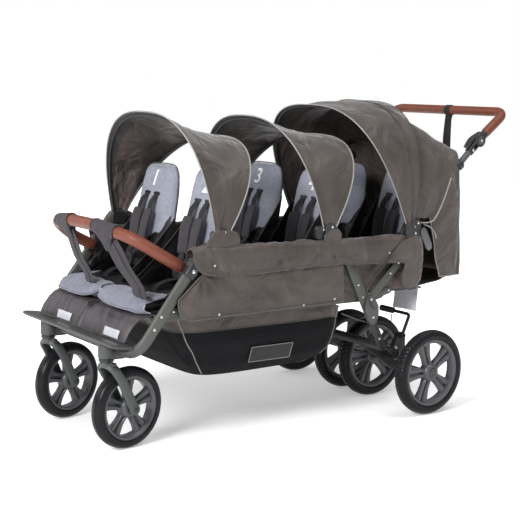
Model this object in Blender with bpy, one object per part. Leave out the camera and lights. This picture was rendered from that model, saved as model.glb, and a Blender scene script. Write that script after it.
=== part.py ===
import math

import bmesh
import bpy
from mathutils import Matrix, Vector

# Six-seat stroller: three rows of two seats on one chassis, rear wheels in a line of four.
# Metres, +Z up, front of the stroller at -Y, origin on the floor under the middle of the box.
# Lengthwise places are measured from the rear axle line, forward is negative.

# Wheels
rear_tyre_d = 0.289
front_tyre_d = 0.2472
tyre_width = 0.045
tyre_depth = 0.037
wheel_steps = 24
track_outer = 0.716
track_inner = 0.136
rear_axle_d = 0.012
front_axle_d = 0.010
axle_play = 0.0007
hub_d = 0.050
hub_width = 0.046
spoke_pairs = 5
spoke_width = 0.010
spoke_depth = 0.014
rim_wall = 0.012

# Casters
caster_spacing = 0.374
stem_y = -1.145
caster_trail = 0.080
caster_turn_left = 8.6
caster_turn_right = 14.0
housing_d = 0.042
housing_bottom_z = 0.262
housing_top_z = 0.329
fork_tube_d = 0.018
fork_clearance = 0.0045
lock_length = 0.030

# Chassis
half_frame = 0.298
rail_d = 0.025
rail_z = 0.590
rail_front_y = -0.906
rail_rear_y = -0.066
socket_y = -0.928
socket_drop = 0.041
socket_z = rail_z - socket_drop
socket_length = 0.062
socket_depth = 0.038
socket_width = 0.036
crossbar_y = -1.110
crossbar_z = 0.303
front_tube_wide = 0.034
front_tube_thin = 0.019
front_bend = 0.062
seat_rail_inset = 0.021
seat_rail_x = half_frame - seat_rail_inset
seat_rail_z = 0.405
seat_rail_height = 0.024
seat_rail_thick = 0.010
seat_rail_overhang = 0.0055
front_tube_y = crossbar_y + (seat_rail_z - crossbar_z) * (socket_y - crossbar_y) / (socket_z - crossbar_z)
seat_rail_front_y = front_tube_y - seat_rail_overhang
seat_rail_rear_y = 0.030
cross_tube_d = 0.018
cross_tube_y = (-0.840, -0.640, -0.400, -0.215)
end_tube_inset = 0.020
stay_y = (-0.700, -0.378)
stay_half = 0.004
stay_depth = 0.018
rear_stay_inset = 0.016
footboard_depth = 0.046
footboard_thick = 0.010
footboard_inset = 0.008
footboard_half = half_frame - footboard_inset

# Folding rear legs
leg_pivot_y = -0.335
leg_pivot_drop = 0.042
leg_pivot_z = rail_z - leg_pivot_drop
link_pivot_y = -0.222
link_pivot_z = 0.343
strut_pivot_y = -0.113
strut_pivot_drop = 0.070
strut_pivot_z = rail_z - strut_pivot_drop
strut_foot_y = -0.236
strut_foot_z = 0.404
leg_foot_y = -0.165
leg_foot_z = 0.238
leg_thick = 0.008
leg_width = 0.034
strut_thick = 0.005
strut_width = 0.026
beam_d = 0.030
arm_x = 0.213
arm_thick = 0.016

# Brake
pedal_pivot_y = -0.004
pedal_pivot_z = 0.246
pedal_rise = 0.072
pedal_reach = 0.044
pedal_inner_x = 0.134
pedal_outer_x = 0.240
pedal_rod_d = 0.009
pedal_grip_d = 0.020

# Handle
handle_inset = 0.018
handle_half = half_frame - handle_inset
handle_foot_y = -0.030
handle_foot_rise = 0.064
handle_foot_z = rail_z + handle_foot_rise
handle_tube_d = 0.022
handle_pivot_y = 0.262
handle_pivot_z = 0.9235
handle_bar_y = 0.392
handle_bar_z = 1.0225
handle_bend = 0.050
grip_d = 0.030
joint_d = 0.050

# Bumper bar
bumper_d = 0.037
bumper_hub = 0.030
bumper_shape = ((0.026, 0.094, 0.051), (0.083, 0.158, 0.091), (0.198, 0.184, 0.107))

# Seats
rows = 3
back_top_y = (-0.752, -0.334, 0.050)
back_lean = 8.0
back_width = 0.228
back_taper = 0.09
back_corner = 5.2
back_thick = 0.032
seat_spacing = 0.300
cushion_thick = 0.046
cushion_front_y = (-1.084, -0.640, -0.225)
cushion_clearance = 0.0215
floor_lift = 0.0115
floor_z = seat_rail_z + floor_lift
floor_thick = 0.006
back_clearance = 0.0035
back_height = 0.399
back_bottom_z = floor_z + floor_thick + back_clearance
back_top_z = back_bottom_z + back_height

# Canopies: pivot, then front and rear bow apex of each
canopy_out = 0.008
canopy_half = half_frame + canopy_out
canopy_wall = 0.0045
canopy_pivot_rise = 0.058
canopy_pivot_z = rail_z + canopy_pivot_rise
canopy_pivot_y = (-0.830, -0.419, -0.054)
front_apex = ((-0.926, 0.992), (-0.547, 0.987), (-0.276, 1.027))
rear_apex = ((-0.626, 0.922), (-0.239, 0.928), (-0.012, 1.034))
canopy_foot = 0.026
arch_power = 2.7
front_power = (2.6, 2.5, 2.8)
rear_power = (2.3, 2.6, 2.7)
hood_gap = 0.0080
hood_inset = 0.003

# Rear hood and hanging back panel
hood_edge_y = 0.176
hood_edge_z = 0.892
panel_bottom_z = 0.457
panel_front_y = 0.084

# Cloth: the side hem runs back from the rail's front end, the basket hangs under the seat rails
side_wall = 0.004
cloth_clearance = 0.0020
side_hem = ((0.014, 0.418), (0.026, 0.409), (0.146, 0.406), (0.266, 0.403), (0.386, 0.402), (0.506, 0.402),
            (0.544, 0.404), (0.5485, 0.529), (0.666, 0.527), (0.786, 0.524))
cushion_half = half_frame - rail_d / 2 - cloth_clearance - side_wall - cushion_clearance
basket_wall = 0.004
basket_bottom_z = 0.192
basket_rear_top_z = 0.312
basket_share = (0.0, 0.18, 0.55, 1.0)
basket_front_y = (-0.845, -0.880, -0.935, -0.985)
basket_rear_y = (-0.345, -0.325, -0.318, -0.312)
basket_inset = (0.072, 0.042, 0.011, 0.0)
cable_d = 0.003

gap = 0.0003

front_reach = -stem_y - caster_trail + front_tyre_d / 2
rear_reach = handle_bar_y + grip_d / 2
axle_y = (front_reach - rear_reach) / 2
rear_radius = rear_tyre_d / 2
front_radius = front_tyre_d / 2
back_slope = math.tan(math.radians(back_lean))


def at(x, y, z):
    return Vector((x, axle_y + y, z))


# Scene and materials

def clear_scene():
    for item in list(bpy.data.objects):
        bpy.data.objects.remove(item, do_unlink=True)


def make_material(name, colour, roughness, metallic):
    material = bpy.data.materials.new(name)
    material.use_nodes = True
    shader = material.node_tree.nodes["Principled BSDF"]
    shader.inputs["Base Color"].default_value = (*colour, 1.0)
    shader.inputs["Roughness"].default_value = roughness
    shader.inputs["Metallic"].default_value = metallic
    material.diffuse_color = (*colour, 1.0)
    return material


def frame_metal():
    return make_material("frame_metal", (0.115, 0.125, 0.112), 0.38, 0.55)


def black_plastic():
    return make_material("black_plastic", (0.022, 0.022, 0.024), 0.5, 0.0)


def rim_plastic():
    return make_material("rim_plastic", (0.075, 0.080, 0.088), 0.42, 0.0)


def tyre_rubber():
    return make_material("tyre_rubber", (0.020, 0.020, 0.024), 0.62, 0.0)


def brown_leather():
    return make_material("brown_leather", (0.260, 0.075, 0.030), 0.45, 0.0)


def taupe_fabric():
    return make_material("taupe_fabric", (0.095, 0.078, 0.070), 0.7, 0.0)


def grey_fabric():
    return make_material("grey_fabric", (0.300, 0.320, 0.370), 0.85, 0.0)


def charcoal_fabric():
    return make_material("charcoal_fabric", (0.060, 0.055, 0.062), 0.85, 0.0)


def mesh_fabric():
    return make_material("mesh_fabric", (0.018, 0.018, 0.022), 0.8, 0.0)


def steel():
    return make_material("steel", (0.50, 0.50, 0.50), 0.3, 1.0)


# Modelling helpers

def finish(name, mesh_data, material, smooth=True):
    bmesh.ops.remove_doubles(mesh_data, verts=mesh_data.verts, dist=0.00001)
    bmesh.ops.recalc_face_normals(mesh_data, faces=mesh_data.faces)
    mesh = bpy.data.meshes.new(name)
    mesh_data.to_mesh(mesh)
    mesh_data.free()
    item = bpy.data.objects.new(name, mesh)
    bpy.context.scene.collection.objects.link(item)
    if material:
        mesh.materials.append(material)
    if smooth:
        mesh.shade_smooth()
        mesh.set_sharp_from_angle(angle=math.radians(35))
    return item


def loft(name, rings, material=None, loop=False, smooth=True):
    """Skin equal rings of points; the ends are capped unless the rings close on themselves."""
    data = bmesh.new()
    made = [[data.verts.new(point) for point in ring] for ring in rings]
    pairs = list(zip(made, made[1:]))
    if loop:
        pairs.append((made[-1], made[0]))
    for low, high in pairs:
        count = len(low)
        for step in range(count):
            follow = (step + 1) % count
            data.faces.new((low[step], low[follow], high[follow], high[step]))
    if not loop:
        data.faces.new(made[0])
        data.faces.new(made[-1])
    return finish(name, data, material, smooth)


def box(name, low, high, material=None):
    """Box between two corners."""
    data = bmesh.new()
    bmesh.ops.create_cube(data, size=1.0)
    size = [b - a for a, b in zip(low, high)]
    middle = [(a + b) / 2 for a, b in zip(low, high)]
    bmesh.ops.scale(data, vec=size, verts=data.verts)
    bmesh.ops.translate(data, vec=middle, verts=data.verts)
    return finish(name, data, material, smooth=False)


def rod(name, start, end, diameter, material=None, steps=12):
    """Straight round bar between two points."""
    start = Vector(start)
    end = Vector(end)
    data = bmesh.new()
    along = end - start
    bmesh.ops.create_cone(data, cap_ends=True, segments=steps, radius1=diameter / 2,
                          radius2=diameter / 2, depth=along.length)
    turn = Vector((0, 0, 1)).rotation_difference(along).to_matrix().to_4x4()
    bmesh.ops.transform(data, matrix=Matrix.Translation((start + end) / 2) @ turn, verts=data.verts)
    return finish(name, data, material)


def rounded_path(points, radius, steps=5):
    """Replace each inner corner of a path by an arc."""
    path = [points[0]]
    for before, corner, after in zip(points, points[1:], points[2:]):
        incoming = (before - corner).normalized()
        outgoing = (after - corner).normalized()
        half_angle = incoming.angle(outgoing) / 2
        reach = min(radius / math.tan(half_angle), (before - corner).length * 0.49,
                    (after - corner).length * 0.49)
        true_radius = reach * math.tan(half_angle)
        bisector = (incoming + outgoing).normalized()
        centre = corner + bisector * (true_radius / math.sin(half_angle))
        first = corner + incoming * reach - centre
        last = corner + outgoing * reach - centre
        for step in range(steps + 1):
            path.append(centre + first.slerp(last, step / steps) * true_radius)
    path.append(points[-1])
    return path


def smooth_path(points, count):
    """Evenly stepped Catmull-Rom curve through the points."""
    ends = [points[0] * 2 - points[1], *points, points[-1] * 2 - points[-2]]
    path = []
    spans = len(points) - 1
    for step in range(count + 1):
        place = min(step * spans / count, spans - 1e-9)
        index = int(place)
        t = place - index
        a, b, c, d = ends[index:index + 4]
        path.append(0.5 * ((2 * b) + (c - a) * t + (2 * a - 5 * b + 4 * c - d) * t ** 2
                           + (3 * b - a - 3 * c + d) * t ** 3))
    return path


def sweep(name, path, section, wide, material=None):
    """Carry a flat section of (wide, thin) points along a path, its wide axis kept near a given one."""
    rings = []
    for index, point in enumerate(path):
        before = path[max(index - 1, 0)]
        after = path[min(index + 1, len(path) - 1)]
        tangent = (after - before).normalized()
        across = (wide - tangent * wide.dot(tangent)).normalized()
        other = tangent.cross(across)
        rings.append([point + across * u + other * v for u, v in section])
    return loft(name, rings, material)


def oval(wide, thin, steps=10, power=2.0):
    section = []
    for step in range(steps):
        turn = 2 * math.pi * (step + 0.5) / steps
        c = math.cos(turn)
        s = math.sin(turn)
        section.append((math.copysign(abs(c) ** (2 / power), c) * wide / 2,
                        math.copysign(abs(s) ** (2 / power), s) * thin / 2))
    return section


def turned(name, profile, steps, material=None):
    """Spin a closed profile of (radius, x) about the X axis, a flat facing down."""
    rings = []
    for step in range(steps):
        turn = -math.pi / 2 + 2 * math.pi * (step + 0.5) / steps
        rings.append([Vector((x, r * math.cos(turn), r * math.sin(turn))) for r, x in profile])
    return loft(name, rings, material, loop=True)


def plate(name, outline, x_low, x_high, material=None):
    """Flat plate from an outline of (y, z) points from the rear axle line, between two x."""
    low = [at(x_low, y, z) for y, z in outline]
    high = [at(x_high, y, z) for y, z in outline]
    return loft(name, [low, high], material, smooth=False)


def capsule(y0, z0, y1, z1, width, steps=5):
    """Outline of a flat bar with round ends, through two pivot points."""
    angle = math.atan2(z1 - z0, y1 - y0)
    outline = []
    for y, z, side in ((y1, z1, 0), (y0, z0, math.pi)):
        for step in range(steps + 1):
            turn = angle + side - math.pi / 2 + math.pi * step / steps
            outline.append((y + math.cos(turn) * width / 2, z + math.sin(turn) * width / 2))
    return outline


def baked(item):
    """Give the object its evaluated mesh, with its modifiers used up."""
    graph = bpy.context.evaluated_depsgraph_get()
    mesh = bpy.data.meshes.new_from_object(item.evaluated_get(graph))
    item.modifiers.clear()
    item.data = mesh
    return item


def combine(item, others, operation="UNION"):
    """Union with or cut by other solids, which are used up."""
    for other in others:
        step = item.modifiers.new(operation.lower(), "BOOLEAN")
        step.operation = operation
        step.solver = "EXACT"
        step.object = other
        baked(item)
        bpy.data.objects.remove(other, do_unlink=True)
    return item


def coat(item, material, smooth=True):
    item.data.materials.clear()
    item.data.materials.append(material)
    item.data.polygons.foreach_set("material_index", [0] * len(item.data.polygons))
    if smooth:
        item.data.shade_smooth()
        item.data.set_sharp_from_angle(angle=math.radians(35))
    return item


def joined(name, items):
    """One mesh object of several separate solids, for use as a cutter or an addition."""
    data = bmesh.new()
    for item in items:
        part = item.data.copy()
        part.transform(item.matrix_world)
        data.from_mesh(part)
        bpy.data.objects.remove(item, do_unlink=True)
    return finish(name, data, None)


def set_origin(item, point):
    """Move the object's origin to its joint axis, the mesh staying where it is."""
    item.data.transform(Matrix.Translation(-point))
    item.matrix_world = Matrix.Translation(point)
    return item


def mirror_x(item, name):
    """Mirrored copy on the other side of the stroller."""
    twin = item.copy()
    twin.data = item.data.copy()
    twin.name = name
    flip = Matrix.Scale(-1, 4, (1, 0, 0))
    twin.data.transform(flip @ item.matrix_world)
    twin.data.flip_normals()
    twin.matrix_world = Matrix.Identity(4)
    bpy.context.scene.collection.objects.link(twin)
    origin = item.matrix_world.translation
    return set_origin(twin, Vector((-origin.x, origin.y, origin.z)))


# Wheels

def tyre_mesh(name, radius, material):
    facet = radius / math.cos(math.pi / wheel_steps)
    half = tyre_width / 2
    inner = facet - tyre_depth
    profile = [
        (facet, -half * 0.55),
        (facet, half * 0.55),
        (facet - tyre_depth * 0.2, half * 0.92),
        (facet - tyre_depth * 0.6, half),
        (inner, half * 0.78),
        (inner, -half * 0.78),
        (facet - tyre_depth * 0.6, -half),
        (facet - tyre_depth * 0.2, -half * 0.92),
    ]
    return turned(name, profile, wheel_steps, material)


def rim_mesh(name, radius, axle_d, material):
    outer = radius / math.cos(math.pi / wheel_steps) - tyre_depth - gap
    inner = outer - rim_wall
    half = tyre_width / 2 * 0.78
    barrel = turned("barrel", [(outer, -half), (outer, half), (inner + 0.002, half + 0.002),
                               (inner, 0), (inner + 0.002, -half - 0.002)], wheel_steps)
    bore = axle_d / 2 + axle_play
    hub = turned("hub", [(hub_d / 2, -hub_width / 2 + 0.006), (hub_d / 2, hub_width / 2 - 0.006),
                         (hub_d / 2 - 0.006, hub_width / 2), (bore, hub_width / 2),
                         (bore, -hub_width / 2), (hub_d / 2 - 0.006, -hub_width / 2)], 12)
    spokes = []
    for pair in range(spoke_pairs):
        angle = 2 * math.pi * pair / spoke_pairs + math.pi / 2
        along = Vector((0, math.cos(angle), math.sin(angle)))
        side = Vector((0, -math.sin(angle), math.cos(angle)))
        for sign in (-1, 1):
            rings = []
            for reach, spread, scale in ((hub_d / 2 - 0.005, 0.0065, 0.9), (inner + 0.004, 0.0125, 1.0)):
                middle = along * reach + side * spread * sign
                wide = side * spoke_width / 2 * scale
                deep = Vector((spoke_depth / 2, 0, 0))
                rings.append([middle - wide - deep, middle + wide - deep,
                              middle + wide + deep, middle - wide + deep])
            spokes.append(loft("spoke", rings))
    combine(barrel, [joined("spokes", spokes), hub])
    barrel.name = name
    return coat(barrel, material)


def place_wheel(name, source, place, turn):
    item = bpy.data.objects.new(name, source.data)
    bpy.context.scene.collection.objects.link(item)
    item.matrix_world = Matrix.Translation(place) @ Matrix.Rotation(math.radians(turn), 4, "Z")
    return item


def make_wheels():
    rubber = tyre_rubber()
    plastic = rim_plastic()
    models = {}
    for kind, radius, axle_d in (("rear", rear_radius, rear_axle_d), ("front", front_radius, front_axle_d)):
        models[kind] = (tyre_mesh(kind + "_tyre_model", radius, rubber),
                        rim_mesh(kind + "_rim_model", radius, axle_d, plastic))
    for place, x in (("outer_left", track_outer / 2), ("inner_left", track_inner / 2),
                     ("inner_right", -track_inner / 2), ("outer_right", -track_outer / 2)):
        hub = at(x, 0, rear_radius)
        place_wheel("rear_tyre_" + place, models["rear"][0], hub, 0)
        place_wheel("rear_rim_" + place, models["rear"][1], hub, 0)
    for side, sign, turn in (("left", 1, caster_turn_left), ("right", -1, caster_turn_right)):
        stem = at(sign * caster_spacing / 2, stem_y, front_radius)
        swing = Matrix.Rotation(math.radians(turn), 4, "Z") @ Vector((0, caster_trail, 0))
        place_wheel("front_tyre_" + side, models["front"][0], stem + swing, turn)
        place_wheel("front_rim_" + side, models["front"][1], stem + swing, turn)
    for pair in models.values():
        for item in pair:
            bpy.data.objects.remove(item, do_unlink=True)


# Chassis

def front_tube_path():
    socket = at(half_frame, socket_y, socket_z)
    corner = at(half_frame, crossbar_y, crossbar_z)
    down = (corner - socket).normalized()
    start = socket + down * (socket_length / 2 + gap)
    flip = Matrix.Scale(-1, 3, (1, 0, 0))
    path = rounded_path([start, corner, flip @ corner, flip @ start], front_bend)
    wide = Vector((1, 0, 0)).cross(down)
    return path, wide


def front_frame(extra=0.0):
    path, wide = front_tube_path()
    section = oval(front_tube_wide + extra, front_tube_thin + extra, 10, 2.6)
    return sweep("front_frame", path, section, wide)


def make_casters(metal, plastic):
    for side, sign, turn in (("left", 1, caster_turn_left), ("right", -1, caster_turn_right)):
        x = sign * caster_spacing / 2
        housing = rod("housing", at(x, stem_y, housing_bottom_z), at(x, stem_y, housing_top_z),
                      housing_d, steps=20)
        clamp_half = housing_d * 0.38
        clamp = box("clamp", at(x - clamp_half, stem_y, crossbar_z - 0.026),
                    at(x + clamp_half, crossbar_y + 0.028, housing_top_z - 0.0008))
        combine(housing, [clamp])
        combine(housing, [front_frame(2 * gap)], "DIFFERENCE")
        housing.name = "caster_housing_" + side
        coat(housing, metal)
        set_origin(housing, at(x, stem_y, housing_bottom_z))
        make_fork(side, x, turn, metal)
        make_lock(side, x, plastic)


def make_fork(side, x, turn, metal):
    crown_z = housing_bottom_z - gap
    arm_x_offset = tyre_width / 2 + fork_clearance + fork_tube_d / 2
    axle = Vector((0, caster_trail, front_radius))
    knee = Vector((0, caster_trail * 0.42, crown_z - 0.052))
    shoulder = Vector((0, 0.004, crown_z - 0.012))
    half = [
        axle + Vector((arm_x_offset, 0, 0)),
        knee + Vector((arm_x_offset, 0, 0)),
        shoulder + Vector((arm_x_offset * 0.86, 0, 0)),
    ]
    path = rounded_path(half + [Vector((-p.x, p.y, p.z)) for p in reversed(half)], 0.022, 3)
    arch = sweep("arch", path, oval(fork_tube_d * 1.15, fork_tube_d * 0.85, 8), Vector((0, 1, 0.6)))
    crown = rod("crown", (0, 0, crown_z - 0.016), (0, 0, crown_z), housing_d - 0.002, steps=16)
    axle_rod = rod("axle", axle - Vector((arm_x_offset, 0, 0)), axle + Vector((arm_x_offset, 0, 0)),
                   front_axle_d, steps=10)
    eye = [rod("eye", axle + Vector((s * (arm_x_offset - fork_tube_d * 0.42), 0, 0)),
               axle + Vector((s * (arm_x_offset + fork_tube_d * 0.42), 0, 0)), fork_tube_d * 1.5)
           for s in (-1, 1)]
    combine(arch, [crown, eye[0], eye[1], axle_rod])
    arch.name = "caster_fork_" + side
    coat(arch, metal)
    swing = Matrix.Rotation(math.radians(turn), 4, "Z")
    arch.matrix_world = Matrix.Translation(at(x, stem_y, 0)) @ swing


def make_lock(side, x, plastic):
    inner = x + housing_d / 2 + gap
    low = at(inner, stem_y - 0.008, housing_bottom_z + 0.004)
    high = at(inner + lock_length, stem_y + 0.008, housing_bottom_z + 0.016)
    lever = box("swivel_lock_" + side, low, high)
    bevel = lever.modifiers.new("edge", "BEVEL")
    bevel.width = 0.0025
    bevel.segments = 1
    baked(lever)
    coat(lever, plastic)
    set_origin(lever, at(inner, stem_y, housing_bottom_z + 0.010))


def make_sockets(plastic):
    path, wide = front_tube_path()
    down = (at(half_frame, crossbar_y, crossbar_z) - at(half_frame, socket_y, socket_z)).normalized()
    centre = at(half_frame, socket_y, socket_z)
    ends = [centre - down * socket_length / 2, centre + down * socket_length / 2]
    block = sweep("bumper_socket_left", ends, oval(socket_depth, socket_width, 12, 3.6), wide, plastic)
    set_origin(block, centre)
    mirror_x(block, "bumper_socket_right")
    foot = at(handle_half, handle_foot_y, handle_foot_z)
    pivot = at(handle_half, handle_pivot_y, handle_pivot_z)
    rise = (pivot - foot).normalized()
    low_x = handle_half - handle_tube_d / 2 - 0.003
    high_x = canopy_half + 0.0005
    outline = []
    base = [(-0.026, -0.020), (0.012, -0.020), (0.026, 0.004)]
    for y, z in base:
        outline.append((rail_rear_y + gap + 0.026 + y, rail_z + z))
    normal = Vector((0, -rise.z, rise.y))
    for side in (-1, 1):
        corner = foot - rise * gap + normal * side * handle_tube_d * 0.7
        outline.append((corner.y - axle_y, corner.z))
    outline.append((rail_rear_y + gap, rail_z + rail_d / 2 + 0.006))
    socket = plate("handle_socket_left", outline, low_x, high_x, plastic)
    bevel = socket.modifiers.new("edge", "BEVEL")
    bevel.width = 0.003
    bevel.segments = 2
    baked(socket)
    set_origin(socket, at(half_frame, rail_rear_y, rail_z))
    mirror_x(socket, "handle_socket_right")


def pivot_lug_outline(y):
    half = 0.015
    return [(y - half, rail_z), (y + half, rail_z), (y + half, canopy_pivot_z - 0.004),
            (y + half * 0.5, canopy_pivot_z + 0.009), (y - half * 0.5, canopy_pivot_z + 0.009),
            (y - half, canopy_pivot_z - 0.004)]


def lug_x():
    inner = canopy_half - canopy_wall - 0.0012
    return inner - 0.005, inner


def make_rails(metal):
    rail = rod("top_rail_left", at(half_frame, rail_front_y, rail_z), at(half_frame, rail_rear_y, rail_z),
               rail_d, steps=12)
    low, high = lug_x()
    lugs = [plate("lug", pivot_lug_outline(y), low, high) for y in canopy_pivot_y]
    lugs[2] = trim_rear_lug(lugs[2], low, high)
    leg_low, leg_high = leg_plane()
    hangers = []
    for y, z in ((leg_pivot_y, leg_pivot_z), (strut_pivot_y, strut_pivot_z)):
        outline = capsule(y, rail_z, y, z, 0.024, 4)
        hangers.append(plate("hanger", outline, leg_low - 0.005 - 2 * gap, leg_low - 2 * gap))
    combine(rail, [*lugs, *hangers])
    coat(rail, metal)
    set_origin(rail, at(half_frame, rail_front_y, rail_z))
    mirror_x(rail, "top_rail_right")


def trim_rear_lug(lug, low, high):
    """The third canopy's lug stands forward of the handle socket and leans back to its pivot."""
    bpy.data.objects.remove(lug, do_unlink=True)
    y = canopy_pivot_y[2]
    foot = rail_rear_y - 0.006
    outline = [(foot - 0.030, rail_z), (foot, rail_z), (foot, rail_z + 0.030),
               (y - 0.004, canopy_pivot_z - 0.004), (y - 0.004, canopy_pivot_z + 0.009),
               (y - 0.020, canopy_pivot_z + 0.009), (foot - 0.030, rail_z + 0.030)]
    return plate("lug", outline, low, high)


def make_seat_frame(metal):
    half_thick = seat_rail_thick / 2
    half_height = seat_rail_height / 2
    parts = []
    for sign in (-1, 1):
        x = sign * seat_rail_x
        rail = box("side", at(x - half_thick, seat_rail_front_y, seat_rail_z - half_height),
                   at(x + half_thick, seat_rail_rear_y, seat_rail_z + half_height))
        parts.append(rail)
    tubes = []
    z = floor_z - gap - cross_tube_d / 2
    for y in (seat_rail_front_y + end_tube_inset, *cross_tube_y, seat_rail_rear_y - end_tube_inset):
        tubes.append(rod("cross", at(-seat_rail_x, y, z), at(seat_rail_x, y, z), cross_tube_d, steps=8))
    stays = []
    for sign in (-1, 1):
        for y in (*stay_y, rail_rear_y - rear_stay_inset):
            x = sign * half_frame
            ends = sorted((sign * (seat_rail_x + half_thick / 5), sign * (half_frame + stay_half)))
            front = y - stay_depth / 2
            rear = y + stay_depth / 2
            foot = box("foot", at(ends[0], front, seat_rail_z - half_thick),
                       at(ends[1], rear, seat_rail_z + half_thick))
            stay = box("stay", at(x - stay_half, front, seat_rail_z - half_thick),
                       at(x + stay_half, rear, rail_z - rail_d / 2 - gap))
            stays.append(combine(foot, [stay]))
        spacer_low = sign * (seat_rail_x)
        spacer_high = sign * (half_frame - front_tube_thin / 2 - gap)
        y = front_tube_y + seat_rail_thick
        stays.append(rod("spacer", at(spacer_low, y, seat_rail_z), at(spacer_high, y, seat_rail_z),
                         rear_axle_d, steps=8))
    frame = parts[0]
    combine(frame, [joined("tubes", tubes)])
    combine(frame, [parts[1]])
    combine(frame, [joined("stays", stays)])
    frame.name = "seat_frame"
    coat(frame, metal, smooth=False)
    set_origin(frame, at(0, seat_rail_front_y, seat_rail_z))


def make_footboard(metal):
    rear = crossbar_y - 0.004
    front = rear - footboard_depth
    z = housing_top_z + gap
    outline = []
    for sign in (1, -1):
        places = [(footboard_half - 0.055, rear), (footboard_half - 0.022, rear - 0.012),
                  (footboard_half, front + 0.012), (footboard_half - 0.030, front)]
        if sign < 0:
            places.reverse()
        outline += [(sign * x, y) for x, y in places]
    rise = 0.10
    rings = []
    for lift in (0.0, footboard_thick):
        rings.append([at(x, y, z + lift + max(0, rear - y) * rise) for x, y in outline])
    board = loft("footboard", rings, metal, smooth=False)
    set_origin(board, at(0, rear, z))


# Folding rear legs, struts and axle

def leg_plane():
    return half_frame - leg_thick / 2, half_frame + leg_thick / 2


def make_rear_legs(metal, plastic):
    low, high = leg_plane()
    upper_outline = capsule(leg_pivot_y, leg_pivot_z, link_pivot_y, link_pivot_z, leg_width)
    lower_outline = capsule(link_pivot_y, link_pivot_z, leg_foot_y, leg_foot_z, leg_width * 0.85)
    upper = plate("rear_leg_left", upper_outline, low, high)
    lower = plate("lower", lower_outline, low + 0.0007, high - 0.0007)
    combine(upper, [lower])
    coat(upper, metal, smooth=False)
    set_origin(upper, at(half_frame, leg_pivot_y, leg_pivot_z))
    mirror_x(upper, "rear_leg_right")
    strut_low = high + gap
    strut_high = strut_low + strut_thick
    strut_outline = capsule(strut_pivot_y, strut_pivot_z, strut_foot_y, strut_foot_z, strut_width)
    strut = plate("fold_strut_left", strut_outline, strut_low, strut_high, metal)
    set_origin(strut, at(half_frame, strut_pivot_y, strut_pivot_z))
    mirror_x(strut, "fold_strut_right")
    link_low = strut_high + gap
    link = plate("strut_link_left", link_outline(), link_low, link_low + strut_thick, metal)
    set_origin(link, at(half_frame, link_pivot_y, link_pivot_z))
    mirror_x(link, "strut_link_right")
    make_axle(plastic, low)


def link_outline():
    """Diamond plate, broad between its two pivots."""
    middle_y = (strut_foot_y + link_pivot_y) / 2
    middle_z = (strut_foot_z + link_pivot_z) / 2
    return [(strut_foot_y - 0.010, strut_foot_z + 0.014), (strut_foot_y + 0.010, strut_foot_z + 0.014),
            (middle_y + 0.030, middle_z + 0.006), (link_pivot_y + 0.022, link_pivot_z - 0.012),
            (link_pivot_y + 0.004, link_pivot_z - 0.026), (link_pivot_y - 0.014, link_pivot_z - 0.018),
            (middle_y - 0.028, middle_z - 0.002)]


def make_axle(plastic, leg_inner):
    end = leg_inner - gap
    beam = rod("rear_axle", at(-end, leg_foot_y, leg_foot_z), at(end, leg_foot_y, leg_foot_z), beam_d, steps=12)
    shaft_end = track_outer / 2 + hub_width / 2 - 0.004
    shaft = rod("shaft", at(-shaft_end, 0, rear_radius), at(shaft_end, 0, rear_radius), rear_axle_d, steps=10)
    arms = []
    for sign in (-1, 1):
        low = sign * arm_x - arm_thick / 2
        high = sign * arm_x + arm_thick / 2
        outline = [(leg_foot_y - 0.010, leg_foot_z - 0.012), (-0.030, rear_radius - 0.018),
                   (0.010, rear_radius - 0.018), (0.020, rear_radius), (0.016, pedal_pivot_z - 0.010),
                   (pedal_pivot_y + 0.006, pedal_pivot_z + 0.010), (pedal_pivot_y - 0.010, pedal_pivot_z + 0.010),
                   (-0.050, rear_radius + 0.045), (leg_foot_y + 0.012, leg_foot_z + 0.010)]
        arms.append(plate("arm", outline, low, high))
    combine(beam, [joined("arms", arms), shaft])
    coat(beam, plastic)
    set_origin(beam, at(0, 0, rear_radius))


def make_brake(plastic):
    side = arm_x + arm_thick / 2 + gap
    pivot = at(side, pedal_pivot_y, pedal_pivot_z)
    top = pedal_pivot_z + pedal_rise
    back = pedal_pivot_y + pedal_reach
    path = rounded_path([
        pivot + Vector((0.004, 0, 0)),
        at(pedal_outer_x, pedal_pivot_y + 0.006, pedal_pivot_z + 0.006),
        at(pedal_outer_x, back, top),
        at(pedal_inner_x, back, top + 0.008),
    ], 0.014, 3)
    pedal = sweep("brake_pedal", path, oval(pedal_rod_d, pedal_rod_d, 8), Vector((0.2, 0.3, 1)))
    eye = rod("eye", pivot, pivot + Vector((0.012, 0, 0)), 0.020)
    grip = rod("grip", at(pedal_inner_x - 0.003, back, top + 0.0083),
               at(pedal_inner_x + 0.052, back, top + 0.0045), pedal_grip_d, steps=12)
    combine(pedal, [eye, grip])
    coat(pedal, plastic)
    set_origin(pedal, pivot)


# Handle and bumper bar

def handle_line():
    foot = at(handle_half, handle_foot_y, handle_foot_z)
    pivot = at(handle_half, handle_pivot_y, handle_pivot_z)
    return foot, pivot, (pivot - foot).normalized()


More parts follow.
